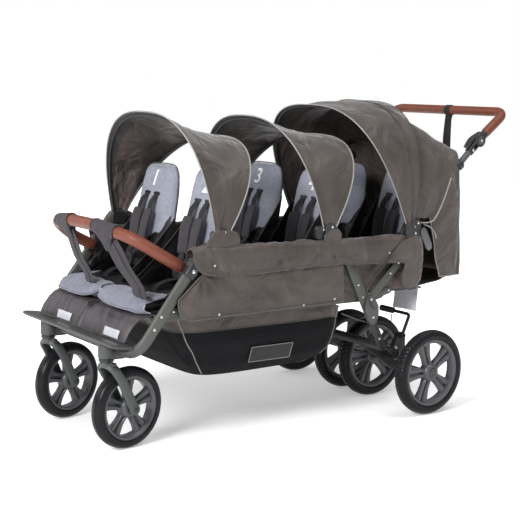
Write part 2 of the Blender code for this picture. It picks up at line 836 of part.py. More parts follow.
def make_handle(metal, plastic, leather):
    foot, pivot, rise = handle_line()
    stop = pivot - rise * (joint_d / 2 + 0.026)
    tube = rod("handle_tube_left", foot, stop, handle_tube_d, metal, steps=12)
    set_origin(tube, foot)
    mirror_x(tube, "handle_tube_right")
    across = Vector((1, 0, 0))
    split = 0.0006
    inner_low = pivot - across * 0.014
    disc = rod("handle_joint_left", inner_low, pivot - across * split, joint_d, steps=16)
    sleeve = sweep("sleeve", [stop + rise * gap, pivot - rise * (joint_d / 2 - 0.004) ],
                   oval(0.028, 0.028, 8, 3.0), across)
    keep = box("keep", pivot + Vector((-0.030, -0.2, -0.2)), pivot + Vector((-split, 0.2, 0.2)))
    neck = sweep("neck", [stop + rise * 0.020, pivot], oval(0.028, 0.030, 8, 3.0), across)
    combine(neck, [keep], "INTERSECT")
    clear = rod("clear", pivot, pivot + across * 0.03, joint_d + 4 * split, steps=16)
    combine(sleeve, [clear], "DIFFERENCE")
    combine(disc, [neck, sleeve])
    disc.name = "handle_joint_left"
    coat(disc, plastic)
    set_origin(disc, pivot)
    mirror_x(disc, "handle_joint_right")
    make_handlebar(pivot, split, leather)


def make_handlebar(pivot, split, leather):
    across = Vector((1, 0, 0))
    bar = at(handle_half, handle_bar_y, handle_bar_z)
    out = (bar - pivot).normalized()
    flip = Matrix.Scale(-1, 3, (1, 0, 0))
    start = pivot + out * (joint_d / 2 + 0.010)
    path = rounded_path([start, bar, flip @ bar, flip @ start], handle_bend)
    wide = across.cross(out)
    tube = sweep("handlebar", path, oval(grip_d, grip_d, 12), wide)
    ends = []
    for sign in (1, -1):
        centre = Vector((sign * pivot.x, pivot.y, pivot.z))
        disc = rod("disc", centre + across * sign * split, centre + across * sign * 0.014, joint_d, steps=16)
        neck = sweep("neck", [centre + across * sign * 0.0075, Vector((sign * start.x, start.y, start.z))
                              + across * sign * 0.0075 + out * 0.006], oval(0.0125, 0.022, 6, 3.0), across)
        combine(disc, [neck])
        ends.append(disc)
    combine(tube, ends)
    coat(tube, leather)
    set_origin(tube, at(0, handle_pivot_y, handle_pivot_z))


def bumper_points():
    half = [(half_frame - socket_width / 2 - 0.018, socket_y - 0.030, socket_z + 0.012)]
    for inward, forward, up in bumper_shape:
        half.append((half_frame - inward, socket_y - forward, socket_z + up))
    points = [at(*p) for p in half]
    flip = Matrix.Scale(-1, 3, (1, 0, 0))
    return points + [flip @ p for p in reversed(points)]


def make_bumper(leather):
    path = smooth_path(bumper_points(), 26)
    bar = sweep("bumper_bar", path, oval(bumper_d, bumper_d, 10), Vector((0.0, 0.45, 1)))
    across = Vector((1, 0, 0))
    hubs = []
    for sign in (1, -1):
        pivot = at(sign * (half_frame - socket_width / 2 - 0.0008), socket_y, socket_z)
        hub = rod("hub", pivot, pivot - across * sign * 0.016, bumper_hub, steps=12)
        arm_end = path[0] if sign > 0 else path[-1]
        neck = sweep("neck", [pivot - across * sign * 0.009, arm_end + (arm_end - pivot).normalized() * 0.012],
                     oval(0.013, 0.020, 6, 3.0), across)
        combine(hub, [neck])
        hubs.append(hub)
    combine(bar, hubs)
    coat(bar, leather)
    set_origin(bar, at(0, socket_y, socket_z))


# Seats

def pad_rings(half_wide, half_tall, half_thick, crown, steps, corner, waist):
    """Rings of a crowned pad, from its back to its face; the edges draw in between the corners."""
    rings = []
    layers = [(0.45, -1.0), (0.80, -0.96), (0.955, -0.70), (1.0, 0.0),
              (0.955, 0.66), (0.80, 1.0), (0.50, 1.0)]
    for scale, height in layers:
        ring = []
        for step in range(steps):
            turn = 2 * math.pi * (step + 0.5) / steps
            c = math.cos(turn)
            s = math.sin(turn)
            u = math.copysign(abs(c) ** (2 / corner), c)
            v = math.copysign(abs(s) ** (2 / corner), s)
            draw = 1 - waist * (1 - min(abs(u), abs(v)) ** 2) * (1 if scale > 0.9 else 0.4)
            lift = half_thick * height
            if height > 0:
                lift += crown * (1 - scale ** 2)
            ring.append((u * half_wide * scale * draw, v * half_tall * scale * draw, lift))
        rings.append(ring)
    return rings


def pad(name, rings, place, material, channels=None):
    """Loft pad rings placed by a function of (across, up, out)."""
    shaped = []
    for ring in rings:
        shaped.append([place(u, v, w if channels is None else channels(u, v, w)) for u, v, w in ring])
    return loft(name, shaped, material)


def back_base_y(row):
    return back_top_y[row] - (back_top_z - back_bottom_z) * back_slope


def make_backs(grey):
    half_tall = (back_top_z - back_bottom_z) / 2 / math.cos(math.radians(back_lean))
    rings = pad_rings(back_width / 2, half_tall, back_thick / 2 - 0.003, 0.006, 24, back_corner, 0.035)
    lean = Vector((0, math.sin(math.radians(back_lean)), math.cos(math.radians(back_lean))))
    out = Vector((0, -math.cos(math.radians(back_lean)), math.sin(math.radians(back_lean))))
    number = 0
    for row in range(rows):
        middle_y = (back_top_y[row] + back_base_y(row)) / 2
        middle_z = (back_top_z + back_bottom_z) / 2
        for side in (-1, 1):
            number += 1
            centre = at(side * seat_spacing / 2, middle_y, middle_z)

            def place(u, v, w):
                narrow = 1 - back_taper * max(0.0, v / half_tall)
                return centre + Vector((u * narrow, 0, 0)) + lean * v + out * w

            back = pad("seat_back_%d" % number, rings, place, grey)
            set_origin(back, at(side * seat_spacing / 2, back_base_y(row), back_bottom_z + 0.010))


def make_cushions(grey):
    floor_top = floor_z + floor_thick
    for row in range(rows):
        front = cushion_front_y[row]
        rear = back_base_y(row) - back_thick / 2 - 0.008
        half_deep = (rear - front) / 2
        middle = (rear + front) / 2
        rings = pad_rings(cushion_half, half_deep, cushion_thick / 2 - 0.006, 0.006, 28, 5.0, 0.02)
        centre = at(0, middle, floor_top + gap + cushion_thick / 2 - 0.006)

        def place(u, v, w):
            valley = math.exp(-(u / 0.022) ** 2)
            height = w
            if w > 0:
                height = w - 0.012 * valley
            droop = max(0.0, (-v / half_deep) - 0.55)
            if w > 0:
                height -= 0.018 * droop
            return centre + Vector((u, v, height))

        cushion = pad("seat_cushion_row_%d" % (row + 1), rings, place, grey)
        set_origin(cushion, at(0, rear, floor_top))


def make_floor(cloth):
    inset = seat_rail_x - seat_rail_thick / 2 - 0.001
    stations = 12
    front = seat_rail_front_y + 0.004
    rear = seat_rail_rear_y
    top = []
    bottom = []
    for step in range(stations + 1):
        y = front + (rear - front) * step / stations
        bottom.append((y, floor_z))
        top.append((y, floor_z + floor_thick))
    outline = bottom + list(reversed(top))
    rings = [[at(x, y, z) for y, z in outline] for x in (-inset, inset)]
    floor = loft("seat_floor", rings, cloth, smooth=False)
    set_origin(floor, at(0, front, floor_z))


# Cloth: canopies, hood, side panels, front panel and basket

def arch_point(share, half_wide, apex, foot_shift, power=arch_power):
    """Point of a bow: share runs 0 to 1 from the right foot over the top to the left foot."""
    turn = math.pi * (1 - share)
    c = math.cos(turn)
    s = max(math.sin(turn), 0.0)
    x = math.copysign(abs(c) ** (2 / power), c) * half_wide
    rise = s ** (2 / power)
    y = foot_shift + (apex[0] - foot_shift) * rise
    z = canopy_pivot_z + (apex[1] - canopy_pivot_z) * rise
    return x, y, z


def canopy_shares(steps):
    """Even steps along a bow, closer at its shoulders."""
    return [0.5 - 0.5 * math.cos(math.pi * step / steps) * (0.92 + 0.08 * abs(math.cos(math.pi * step / steps)))
            for step in range(steps + 1)]


def sheet_solid(name, grid_outer, grid_inner, material):
    """Closed sheet between two equal grids of points."""
    data = bmesh.new()
    outer = [[data.verts.new(p) for p in row] for row in grid_outer]
    inner = [[data.verts.new(p) for p in row] for row in grid_inner]
    rows_count = len(outer)
    columns = len(outer[0])
    for a in range(rows_count - 1):
        for b in range(columns - 1):
            data.faces.new((outer[a][b], outer[a + 1][b], outer[a + 1][b + 1], outer[a][b + 1]))
            data.faces.new((inner[a][b], inner[a][b + 1], inner[a + 1][b + 1], inner[a + 1][b]))
    rim = [(a, 0) for a in range(rows_count)] + [(rows_count - 1, b) for b in range(1, columns)]
    rim += [(a, columns - 1) for a in range(rows_count - 2, -1, -1)] + [(0, b) for b in range(columns - 2, 0, -1)]
    for (a, b), (c, d) in zip(rim, rim[1:] + rim[:1]):
        data.faces.new((outer[a][b], outer[c][d], inner[c][d], inner[a][b]))
    return finish(name, data, material)


def cloth_sheet(name, grid, wall, material, inside):
    """Closed cloth from one grid of points, thickened along its own normals towards a given side."""
    inner = []
    for a, row in enumerate(grid):
        inner_row = []
        for b, point in enumerate(row):
            along = grid[min(a + 1, len(grid) - 1)][b] - grid[max(a - 1, 0)][b]
            across = row[min(b + 1, len(row) - 1)] - row[max(b - 1, 0)]
            normal = along.cross(across).normalized()
            aim = inside(point) if callable(inside) else inside
            if normal.dot(aim) < 0:
                normal.negate()
            inner_row.append(point + normal * wall)
        inner.append(inner_row)
    return sheet_solid(name, grid, inner, material)


def canopy_grid(index, front, rear, half_wide, sag, foot_front, foot_rear, shrink=0.0, steps=18, bands=4):
    pivot_y = canopy_pivot_y[index]
    rows_made = []
    for share in canopy_shares(steps):
        f = arch_point(share, half_wide - shrink, (front[0], front[1] - shrink), pivot_y - foot_front,
                       front_power[index])
        r = arch_point(share, half_wide - shrink, (rear[0], rear[1] - shrink), pivot_y + foot_rear,
                       rear_power[index])
        row = []
        for band in range(bands + 1):
            t = band / bands
            x, y, z = [a + (b - a) * t for a, b in zip(f, r)]
            dip = sag * 4 * t * (1 - t) * math.sin(math.pi * share)
            radial = Vector((x * 0.6, y - pivot_y, z - canopy_pivot_z))
            if radial.length > 0.05:
                pull = radial.normalized() * dip
                x, y, z = x - pull.x, y - pull.y, z - pull.z
            row.append(at(x, y, z))
        rows_made.append(row)
    return rows_made


def make_canopies(cloth):
    for index in range(2):
        pivot_y = canopy_pivot_y[index]
        grids = [canopy_grid(index, front_apex[index], rear_apex[index], canopy_half, 0.012,
                             canopy_foot, canopy_foot, shrink) for shrink in (0.0, canopy_wall)]
        canopy = sheet_solid("canopy_%d" % (index + 1), *grids, cloth)
        set_origin(canopy, at(0, pivot_y, canopy_pivot_z))
    make_front_of_hood(cloth)
    make_rear_hood(cloth)


def make_front_of_hood(cloth):
    pivot_y = canopy_pivot_y[2]
    lift = hood_gap + canopy_wall
    rear = (rear_apex[2][0], rear_apex[2][1] + lift)
    half = canopy_half + lift - hood_inset
    grids = [canopy_grid(2, front_apex[2], rear, half, -0.006, 0.045, -0.004, shrink)
             for shrink in (0.0, canopy_wall)]
    canopy = sheet_solid("canopy_3", *grids, cloth)
    set_origin(canopy, at(0, pivot_y, canopy_pivot_z))


def hood_grid():
    """One cloth from the middle bow over the roof to its rear edge, then down to the hem of the back."""
    half = canopy_half - hood_inset
    foot_y = canopy_pivot_y[2] + 0.008
    foot_z = canopy_pivot_z + 0.022
    edge_shape = [(0.988, 0.00, -0.055), (0.988, 0.34, 0.21), (0.986, 0.60, 0.56), (0.976, 0.78, 0.78),
                  (0.945, 0.88, 0.90), (0.873, 0.94, 0.955), (0.755, 0.965, 0.975), (0.585, 0.98, 0.987),
                  (0.360, 0.99, 0.995), (0.0, 1.0, 1.0)]
    hem_shape = [(0.988, 0.00), (0.988, 0.25), (0.988, 0.52), (0.980, 0.78), (0.945, 0.93), (0.86, 0.965),
                 (0.74, 0.98), (0.575, 0.99), (0.36, 1.0), (0.0, 1.0)]
    edge_front = panel_front_y - 0.054
    hem_rear = hood_edge_y + 0.016
    grid = []
    for index, share in enumerate(canopy_shares(18)):
        step = min(index, 18 - index)
        sign = 1 if index > 9 else -1
        first = arch_point(share, half, (rear_apex[2][0] - 0.006, rear_apex[2][1]), foot_y)
        bow = Vector((first[0], first[1], max(first[2], foot_z)))
        x_part, y_part, z_part = edge_shape[step]
        edge = Vector((sign * x_part * half, edge_front + (hood_edge_y - edge_front) * y_part,
                       foot_z + (hood_edge_z - foot_z) * z_part))
        x_part, y_part = hem_shape[step]
        hem = Vector((sign * x_part * half, panel_front_y + (hem_rear - panel_front_y) * y_part, panel_bottom_z))
        row = []
        for band in range(5):
            t = band / 4
            bulge = 0.022 * 4 * t * (1 - t) * math.sin(math.pi * share)
            place = bow.lerp(edge, t)
            row.append(at(place.x, place.y + bulge * 0.7, place.z + bulge))
        for band in range(1, 5):
            t = band / 4
            fold = 0.005 * math.sin(index * 2.0) * t * math.sin(math.pi * share)
            place = edge.lerp(hem, t)
            row.append(at(place.x, place.y + fold + 0.010 * math.sin(math.pi * t) * y_part, place.z))
        grid.append(row)
    return grid


def make_rear_hood(cloth):
    middle = at(0, 0, 0.66)
    hood = cloth_sheet("rear_hood", hood_grid(), canopy_wall, cloth, lambda point: middle - point)
    foot, pivot, rise = handle_line()
    flip = Matrix.Scale(-1, 3, (1, 0, 0))
    passages = [rod("passage", side @ foot, side @ pivot, handle_tube_d + 0.004)
                for side in (Matrix.Identity(3), flip)]
    combine(hood, [joined("passages", passages)], "DIFFERENCE")
    coat(hood, cloth)
    set_origin(hood, at(0, canopy_pivot_y[2], canopy_pivot_z))


def side_section(outer_bottom, inner_bottom, shrink):
    """Inverted U of cloth over the rail, from the outer hem over the top to the inner hem."""
    rail_r = rail_d / 2
    clear = cloth_clearance + side_wall - shrink
    out_x = half_frame + rail_r + clear
    in_x = half_frame - rail_r - clear
    top = rail_z + rail_r + clear
    low_x = out_x - 0.006
    return [(low_x if outer_bottom < rail_z - 0.09 else out_x, outer_bottom), (out_x + 0.001, rail_z - 0.045),
            (out_x, rail_z), (out_x - 0.001, rail_z + rail_r * 0.68), (out_x - 0.007, top), (half_frame, top + 0.001),
            (in_x + 0.007, top), (in_x + 0.001, rail_z + rail_r * 0.68), (in_x, rail_z), (in_x, rail_z - 0.06),
            (in_x, inner_bottom)]


def make_side_panels(cloth):
    stations = [(rail_front_y + back, bottom) for back, bottom in side_hem]
    stations.append((rail_rear_y - cloth_clearance, side_hem[-1][1]))
    inner_bottom = floor_z + floor_thick + 0.006
    grids = []
    for shrink in (0.0, side_wall):
        grids.append([[at(x, y, z) for x, z in side_section(bottom, inner_bottom, shrink)]
                      for y, bottom in stations])
    panel = sheet_solid("side_panel_left", grids[0], grids[1], cloth)
    low, high = lug_x()
    foot = rail_rear_y - 0.006
    reaches = [(y - 0.018, y + 0.018) for y in canopy_pivot_y[:2]] + [(foot - 0.034, foot + 0.03)]
    slots = []
    for front, rear in reaches:
        slots.append(box("slot", at(low - 0.002, front, rail_z + 0.008),
                         at(high + 0.002, rear, canopy_pivot_z + 0.012)))
    combine(panel, [joined("slots", slots)], "DIFFERENCE")
    coat(panel, cloth)
    set_origin(panel, at(half_frame, stations[0][0], rail_z))
    mirror_x(panel, "side_panel_right")


def make_front_panel(cloth):
    """Calf panel from the footboard up to the front edge of the seat floor."""
    top_y = seat_rail_front_y - 0.006
    fold_y = seat_rail_front_y - 0.044
    bottom_y = crossbar_y - 0.022
    top_z = floor_z + 0.001
    bottom_z = housing_top_z + footboard_thick + 0.008
    fold_z = top_z - 0.008
    profile = [(bottom_y, bottom_z), (bottom_y + (fold_y - bottom_y) * 0.33, bottom_z + (fold_z - bottom_z) * 0.36),
               (bottom_y + (fold_y - bottom_y) * 0.68, bottom_z + (fold_z - bottom_z) * 0.70), (fold_y, fold_z),
               (seat_rail_front_y + 0.004 - gap, top_z)]
    half = seat_rail_x - seat_rail_thick / 2 - 0.004
    grid = []
    for column in range(17):
        across = -1 + column / 8
        swell = 0.009 * (0.25 + 0.75 * abs(math.sin(math.pi * across)))
        row = []
        for band, (y, z) in enumerate(profile):
            lift = swell * (0, 0.8, 1.0, 0.3, 0)[band]
            row.append(at(across * half, y - lift, z + lift * 0.4))
        grid.append(row)
    panel = cloth_sheet("front_panel", grid, side_wall, cloth, Vector((0, 1, -0.4)))
    set_origin(panel, at(0, top_y, top_z))


def make_basket(cloth):
    """Slung basket: a shell with a low back wall to reach in over."""
    levels = list(zip(basket_share, basket_front_y, basket_rear_y, basket_inset))
    top_z = seat_rail_z - seat_rail_height / 2 - gap

    def ring(level, shrink):
        share, front, rear, inset = level
        half = seat_rail_x - inset
        points = []
        steps = 24
        for step in range(steps):
            turn = 2 * math.pi * (step + 0.5) / steps
            c = math.cos(turn)
            s = math.sin(turn)
            u = math.copysign(abs(c) ** (2 / 5.0), c)
            v = math.copysign(abs(s) ** (2 / 5.0), s)
            y = (front + rear) / 2 + v * ((rear - front) / 2 - shrink)
            level_top = basket_rear_top_z if v > 0.9 else top_z
            z = basket_bottom_z + shrink * (1 - share) + (level_top - basket_bottom_z) * share
            points.append(at(u * (half - shrink), y, z))
        return points

    outer = [ring(level, 0.0) for level in levels]
    inner = [ring(level, basket_wall) for level in reversed(levels)]
    basket = loft("basket", outer + inner, cloth)
    set_origin(basket, at(0, basket_front_y[0], basket_bottom_z))


def make_cable(plastic):
    """Release cable from the handle joint to the folding strut on the left side."""
    x = half_frame + rail_d / 2 + 0.0012 + side_wall + 0.006
    points = [at(canopy_half + 0.0005 + gap + 0.0017, rail_rear_y + 0.024, rail_z + 0.006),
              at(canopy_half + 0.0060, rail_rear_y + 0.012, rail_z + 0.004),
              at(x + 0.002, rail_rear_y + 0.002, rail_z - 0.006),
              at(x + 0.002, strut_pivot_y - 0.017, strut_pivot_z + 0.028),
              at(x, strut_foot_y + 0.046, strut_foot_z + 0.076), at(x - 0.001, strut_foot_y + 0.014, strut_foot_z + 0.036),
              at(x - 0.001, strut_foot_y - 0.002, strut_foot_z + 0.020)]
    section = oval(cable_d, cable_d, 6)
    cable = sweep("release_cable", smooth_path(points, 16), section, Vector((1, 0.1, 0)), plastic)
    set_origin(cable, points[0])


def build():
    clear_scene()
    metal = frame_metal()
    plastic = black_plastic()
    leather = brown_leather()
    taupe = taupe_fabric()
    grey = grey_fabric()
    charcoal = charcoal_fabric()
    make_wheels()
    frame = front_frame()
    coat(frame, metal)
    set_origin(frame, at(0, crossbar_y, crossbar_z))
    make_casters(metal, plastic)
    make_sockets(plastic)
    make_rails(metal)
    make_seat_frame(metal)
    make_footboard(plastic)
    make_rear_legs(metal, plastic)
    make_brake(plastic)
    make_handle(metal, plastic, leather)
    make_bumper(leather)
    make_floor(charcoal)
    make_cushions(grey)
    make_backs(grey)
    make_canopies(taupe)
    make_side_panels(taupe)
    make_front_panel(charcoal)
    make_basket(mesh_fabric())
    make_cable(plastic)


build()
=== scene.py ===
import math
import bmesh
import bpy
from mathutils import Matrix, Vector, noise
from mathutils.bvhtree import BVHTree


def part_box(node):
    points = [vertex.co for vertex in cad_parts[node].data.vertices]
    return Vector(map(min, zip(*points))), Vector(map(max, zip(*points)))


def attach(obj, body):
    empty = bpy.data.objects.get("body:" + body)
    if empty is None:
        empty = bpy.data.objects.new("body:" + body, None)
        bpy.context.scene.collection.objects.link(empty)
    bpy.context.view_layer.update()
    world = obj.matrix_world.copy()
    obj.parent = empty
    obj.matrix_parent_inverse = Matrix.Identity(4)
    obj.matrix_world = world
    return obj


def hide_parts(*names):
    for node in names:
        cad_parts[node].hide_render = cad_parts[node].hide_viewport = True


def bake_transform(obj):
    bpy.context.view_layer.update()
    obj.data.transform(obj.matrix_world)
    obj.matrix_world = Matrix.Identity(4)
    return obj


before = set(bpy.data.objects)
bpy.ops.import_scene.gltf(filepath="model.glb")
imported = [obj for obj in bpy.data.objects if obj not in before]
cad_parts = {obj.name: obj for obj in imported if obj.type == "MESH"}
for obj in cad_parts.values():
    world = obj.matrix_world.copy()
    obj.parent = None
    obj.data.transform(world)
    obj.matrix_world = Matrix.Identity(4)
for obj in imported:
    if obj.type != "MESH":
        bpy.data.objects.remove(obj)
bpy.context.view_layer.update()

lowTyre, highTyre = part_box("rear_tyre_outer_left")
axleY = (lowTyre.y + highTyre.y) / 2  # the rear axle line


def at(x, y, z):
    return Vector((x, axleY + y, z))


def clamp(value):
    return min(1.0, max(0.0, value))


def calmEnds(place, rate, least=0.0):  # 1 in the middle, falling off towards 0 and 1
    return min(1.0, rate * place, rate * (1 - place) + least)


def facing(sign):  # half a turn for whatever sits on the right side
    return Matrix.Rotation(0 if sign > 0 else math.pi, 4, "Z")


def addObject(name, data):
    made = bpy.data.objects.new(name, data)
    bpy.context.scene.collection.objects.link(made)
    return made


def evaluated(item):
    return bpy.data.meshes.new_from_object(item.evaluated_get(bpy.context.evaluated_depsgraph_get()))


def onSide(x, *pairs):
    return [at(x, y, z) for y, z in pairs]


def inPlane(*pairs):
    return [Vector((0, y, z)) for y, z in pairs]


mirrorX = Matrix.Scale(-1, 3, (1, 0, 0))
xAxis, yAxis, zAxis = Vector((1, 0, 0)), Vector((0, 1, 0)), Vector((0, 0, 1))
sides = ((1, "left"), (-1, "right"))

# Camera, lights and floor
studio = {
    "cameraPlace": (3.0666, -2.7535, 1.0515),
    "azimuth": 53.2135,
    "pitch": 8.108,
    "roll": 1.9323,
    "lens": 79.85,
    "keyPower": 235,
    "fillPower": 48,
    "rimPower": 75,
    "roomLight": 0.4,
    "floorGlow": 1.0,
    "floorNear": 0.34,
}


def makeStudio():
    camera = addObject("camera", bpy.data.cameras.new("camera"))
    a, e, r = (math.radians(studio[key]) for key in ("azimuth", "pitch", "roll"))
    ahead = Vector((-math.sin(a) * math.cos(e), math.cos(a) * math.cos(e), -math.sin(e)))
    right = Vector((math.cos(a), math.sin(a), 0))
    up = right.cross(ahead)
    side = right * math.cos(r) + up * math.sin(r)
    top = up * math.cos(r) - right * math.sin(r)
    turn = Matrix((side, top, -ahead)).transposed().to_4x4()
    camera.matrix_world = Matrix.Translation(at(*studio["cameraPlace"])) @ turn
    camera.data.sensor_width = 36
    camera.data.lens = studio["lens"]
    camera.data.clip_end = 60
    bpy.context.scene.camera = camera
    bpy.context.scene.view_settings.view_transform = "Standard"
    lamps = (
        ("keyLamp", (1.7, -4.4, 2.9), 1.8, studio["keyPower"]),
        ("fillLamp", (-3.6, -2.6, 2.6), 3.6, studio["fillPower"]),
        ("rimLamp", (1.6, 0.6, 4.6), 2.6, studio["rimPower"]),
    )
    for name, place, size, power in lamps:
        lamp = addObject(name, bpy.data.lights.new(name, "AREA"))
        lamp.data.shape = "DISK"
        lamp.data.size = size
        lamp.data.energy = power
        lamp.location = place
        lamp.rotation_euler = (Vector((0, 0, 0.4)) - Vector(place)).to_track_quat("-Z", "Y").to_euler()
    world = bpy.data.worlds.new("room")
    bpy.context.scene.world = world
    world.use_nodes = True
    tree = world.node_tree
    glow = tree.nodes["Background"]
    path = tree.nodes.new("ShaderNodeLightPath")
    seen = tree.nodes.new("ShaderNodeMath")
    seen.operation = "MAXIMUM"
    tree.links.new(path.outputs["Is Camera Ray"], seen.inputs[0])
    tree.links.new(path.outputs["Is Transmission Ray"], seen.inputs[1])
    level = tree.nodes.new("ShaderNodeMapRange")
    tree.links.new(seen.outputs[0], level.inputs["Value"])
    level.inputs["To Min"].default_value = studio["roomLight"]
    level.inputs["To Max"].default_value = 1.0
    tree.links.new(level.outputs[0], glow.inputs["Strength"])
    glow.inputs["Color"].default_value = (1, 1, 1, 1)
    mesh = bpy.data.meshes.new("floor")
    mesh.from_pydata([(-9, -9, 0), (9, -9, 0), (9, 9, 0), (-9, 9, 0)], [], [(0, 1, 2, 3)])
    floor = addObject("floor", mesh)
    paper = Finish("paper", color=(0.9, 0.9, 0.9), roughness=0.95, specular=0.0)
    rays = paper.node("LightPath", out="Is Camera Ray")
    glossy = paper.node("LightPath", out="Is Glossy Ray")
    clear = paper.node("LightPath", out="Is Transmission Ray")
    shows = rays.step("MAXIMUM", glossy).step("MAXIMUM", clear)
    x, y, z = paper.axes()
    distance = (x * x + y * y) ** 0.5
    near = studio["floorNear"]
    level = paper.ramp(distance / 4, (0.16, (near, near, near)), (0.42, (1.0, 1.0, 1.0)))
    paper.feed("Emission Color", paper.mix(shows, (0, 0, 0), level))
    paper.shader.inputs["Emission Strength"].default_value = studio["floorGlow"]
    mesh.materials.append(paper.material)


class Flow:  # a shader socket that takes part in sums, each step one Math node
    def __init__(self, finish, socket):
        self.finish = finish
        self.socket = socket

    def step(self, operation, other=None, swap=False):
        node = self.finish.tree.nodes.new("ShaderNodeMath")
        node.operation = operation
        for index, item in enumerate((other, self) if swap else (self, other)):
            if item is not None:
                self.finish.link(item, node.inputs[index])
        return Flow(self.finish, node.outputs[0])

    def __add__(self, other):
        return self.step("ADD", other)

    def __sub__(self, other):
        return self.step("SUBTRACT", other)

    def __rsub__(self, other):
        return self.step("SUBTRACT", other, True)

    def __mul__(self, other):
        return self.step("MULTIPLY", other)

    def __truediv__(self, other):
        return self.step("DIVIDE", other)

    def __pow__(self, other):
        return self.step("POWER", other)

    __radd__ = __add__
    __rmul__ = __mul__


class Finish:  # one material and the nodes that drive it
    names = {"color": "Base Color", "roughness": "Roughness", "metallic": "Metallic",
             "specular": "Specular IOR Level",
             "coat": "Coat Weight", "coatRoughness": "Coat Roughness", "sheen": "Sheen Weight",
             "sheenRoughness": "Sheen Roughness", "alpha": "Alpha"}

    def __init__(self, name, **constants):
        self.material = bpy.data.materials.new(name)
        self.material.use_nodes = True
        self.tree = self.material.node_tree
        self.shader = self.tree.nodes["Principled BSDF"]
        for key, value in constants.items():
            if isinstance(value, tuple):
                value = (*value, 1.0)
            self.shader.inputs[self.names[key]].default_value = value
        self.place = self.node("TexCoord", out="Object")

    def link(self, item, socket):
        if isinstance(item, Flow):
            self.tree.links.new(item.socket, socket)
        elif isinstance(item, tuple) and len(item) == 3 and len(socket.default_value) == 4:
            socket.default_value = (*item, 1.0)
        else:
            socket.default_value = item

    def node(self, kind, settings=None, inputs=None, out=0):
        made = self.tree.nodes.new("ShaderNode" + kind)
        for key, value in (settings or {}).items():
            if key == "stops":
                ramp = made.color_ramp
                while len(ramp.elements) < len(value):
                    ramp.elements.new(0.5)
                for element, (place, tone) in zip(ramp.elements, value):
                    element.position = place
                    element.color = (*tone, 1.0) if isinstance(tone, tuple) else (tone, tone, tone, 1.0)
            else:
                setattr(made, key, value)
        for key, value in (inputs or {}).items():
            self.link(value, made.inputs[key])
        return Flow(self, made.outputs[out])

    def feed(self, name, item):
        self.link(item, self.shader.inputs[name])

    def mix(self, share, one, other, blend="MIX"):
        return self.node("Mix", {"data_type": "RGBA", "blend_type": blend}, {0: share, 6: one, 7: other}, 2)

    def stretched(self, scale):
        return self.node("VectorMath", {"operation": "MULTIPLY"}, {0: self.place, 1: scale})

    def grain(self, scale, detail=3.0, rough=0.55, warp=0.0, vector=None):
        return self.node("TexNoise", None, {"Vector": vector or self.place, "Scale": scale,
                                            "Detail": detail,
                                            "Roughness": rough, "Distortion": warp}, "Fac")

    def ramp(self, value, *stops):
        return self.node("ValToRGB", {"stops": stops}, {"Fac": value})

    def axes(self):
        split = self.tree.nodes.new("ShaderNodeSeparateXYZ")
        self.tree.links.new(self.place.socket, split.inputs[0])
        return [Flow(self, out) for out in split.outputs]

    def bump(self, height, strength, distance, below=None):
        inputs = {"Height": height, "Strength": strength, "Distance": distance}
        if below:
            inputs["Normal"] = below
        return self.node("Bump", None, inputs)

    def weave(self, pitch):
        x, y, z = self.axes()
        rows = ((x + y) * (2 * math.pi / pitch)).step("SINE")
        columns = ((z + x * 0.37 - y * 0.37) * (2 * math.pi / pitch)).step("SINE")
        return (rows * columns) * 0.5 + 0.5


# Cloths, leather, metals and plastics
tones = {
    "taupe": ((0.033, 0.025, 0.0215), (0.094, 0.073, 0.064)),
    # the lining tone is lighter than the outer taupe: painted light standing in for light that comes
    # through the cloth
    "taupeLiningPaintedLight": ((0.028, 0.021, 0.019), (0.122, 0.097, 0.086)),
    "apron": ((0.031, 0.025, 0.031), (0.054, 0.045, 0.053)),
    "blackCloth": ((0.004, 0.004, 0.005), (0.011, 0.01, 0.012)),
    "heather": ((0.165, 0.174, 0.222), (0.385, 0.4, 0.48)),
    "strapPad": ((0.024, 0.021, 0.026), (0.052, 0.046, 0.054)),
    "leather": ((0.094, 0.0195, 0.0065), (0.222, 0.049, 0.0155)),
    "frame": ((0.07, 0.073, 0.067), (0.098, 0.103, 0.095)),
    "fork": ((0.056, 0.062, 0.062), (0.078, 0.086, 0.085)),
    "darkMetal": ((0.02, 0.02, 0.021), (0.032, 0.032, 0.034)),
    "taupeDark": ((0.026, 0.02, 0.018), (0.05, 0.04, 0.036)),
    # the flap heather is the seat-back heather made darker: painted shade on the seat flaps
    "flapHeatherPaintedShade": ((0.082, 0.085, 0.116), (0.215, 0.222, 0.285)),
    "piping": ((0.2, 0.194, 0.186), (0.36, 0.35, 0.338)),
    "edge": ((0.026, 0.023, 0.024), (0.046, 0.042, 0.042)),
    "bindTape": ((0.085, 0.078, 0.068), (0.16, 0.15, 0.132)),
    "label": ((0.012, 0.012, 0.014), (0.024, 0.024, 0.027)),
    "web": ((0.014, 0.012, 0.015), (0.034, 0.03, 0.036)),
    "flapEdge": ((0.3, 0.31, 0.35), (0.52, 0.53, 0.58)),
    "thread": ((0.06, 0.052, 0.046), (0.11, 0.1, 0.09)),
}


def nylonFinish(name, tone, crinkle=1.0, sheen=0.35, roughness=0.52):
    cloth = Finish(name, roughness=roughness, sheen=sheen, sheenRoughness=0.4)
    dark, light = tones[tone]
    # The broad colour patches (folds) and the fine crinkle grain, which the bump also uses, paint fold and
    # crinkle shade and light into the cloth colour; the thread weave is the cloth's own pattern
    folds = cloth.ramp(cloth.grain(8, 3, 0.5, 0.5), (0.32, 0.0), (0.68, 1.0))
    fine = cloth.grain(70, 4, 0.6, 0.6)
    threads = cloth.weave(0.0009)
    cloth.feed("Base Color", cloth.mix(folds * 0.62 + fine * 0.23 + threads * 0.15, dark, light))
    cloth.feed("Roughness", fine * 0.18 + (roughness - 0.09))
    coarse = cloth.bump(cloth.grain(8, 3, 0.5, 0.7), 0.8 * crinkle, 0.034)
    small = cloth.bump(fine, 0.3 * crinkle, 0.0018, coarse)
    cloth.feed("Normal", cloth.bump(threads, 0.25, 0.0002, small))
    return cloth.material


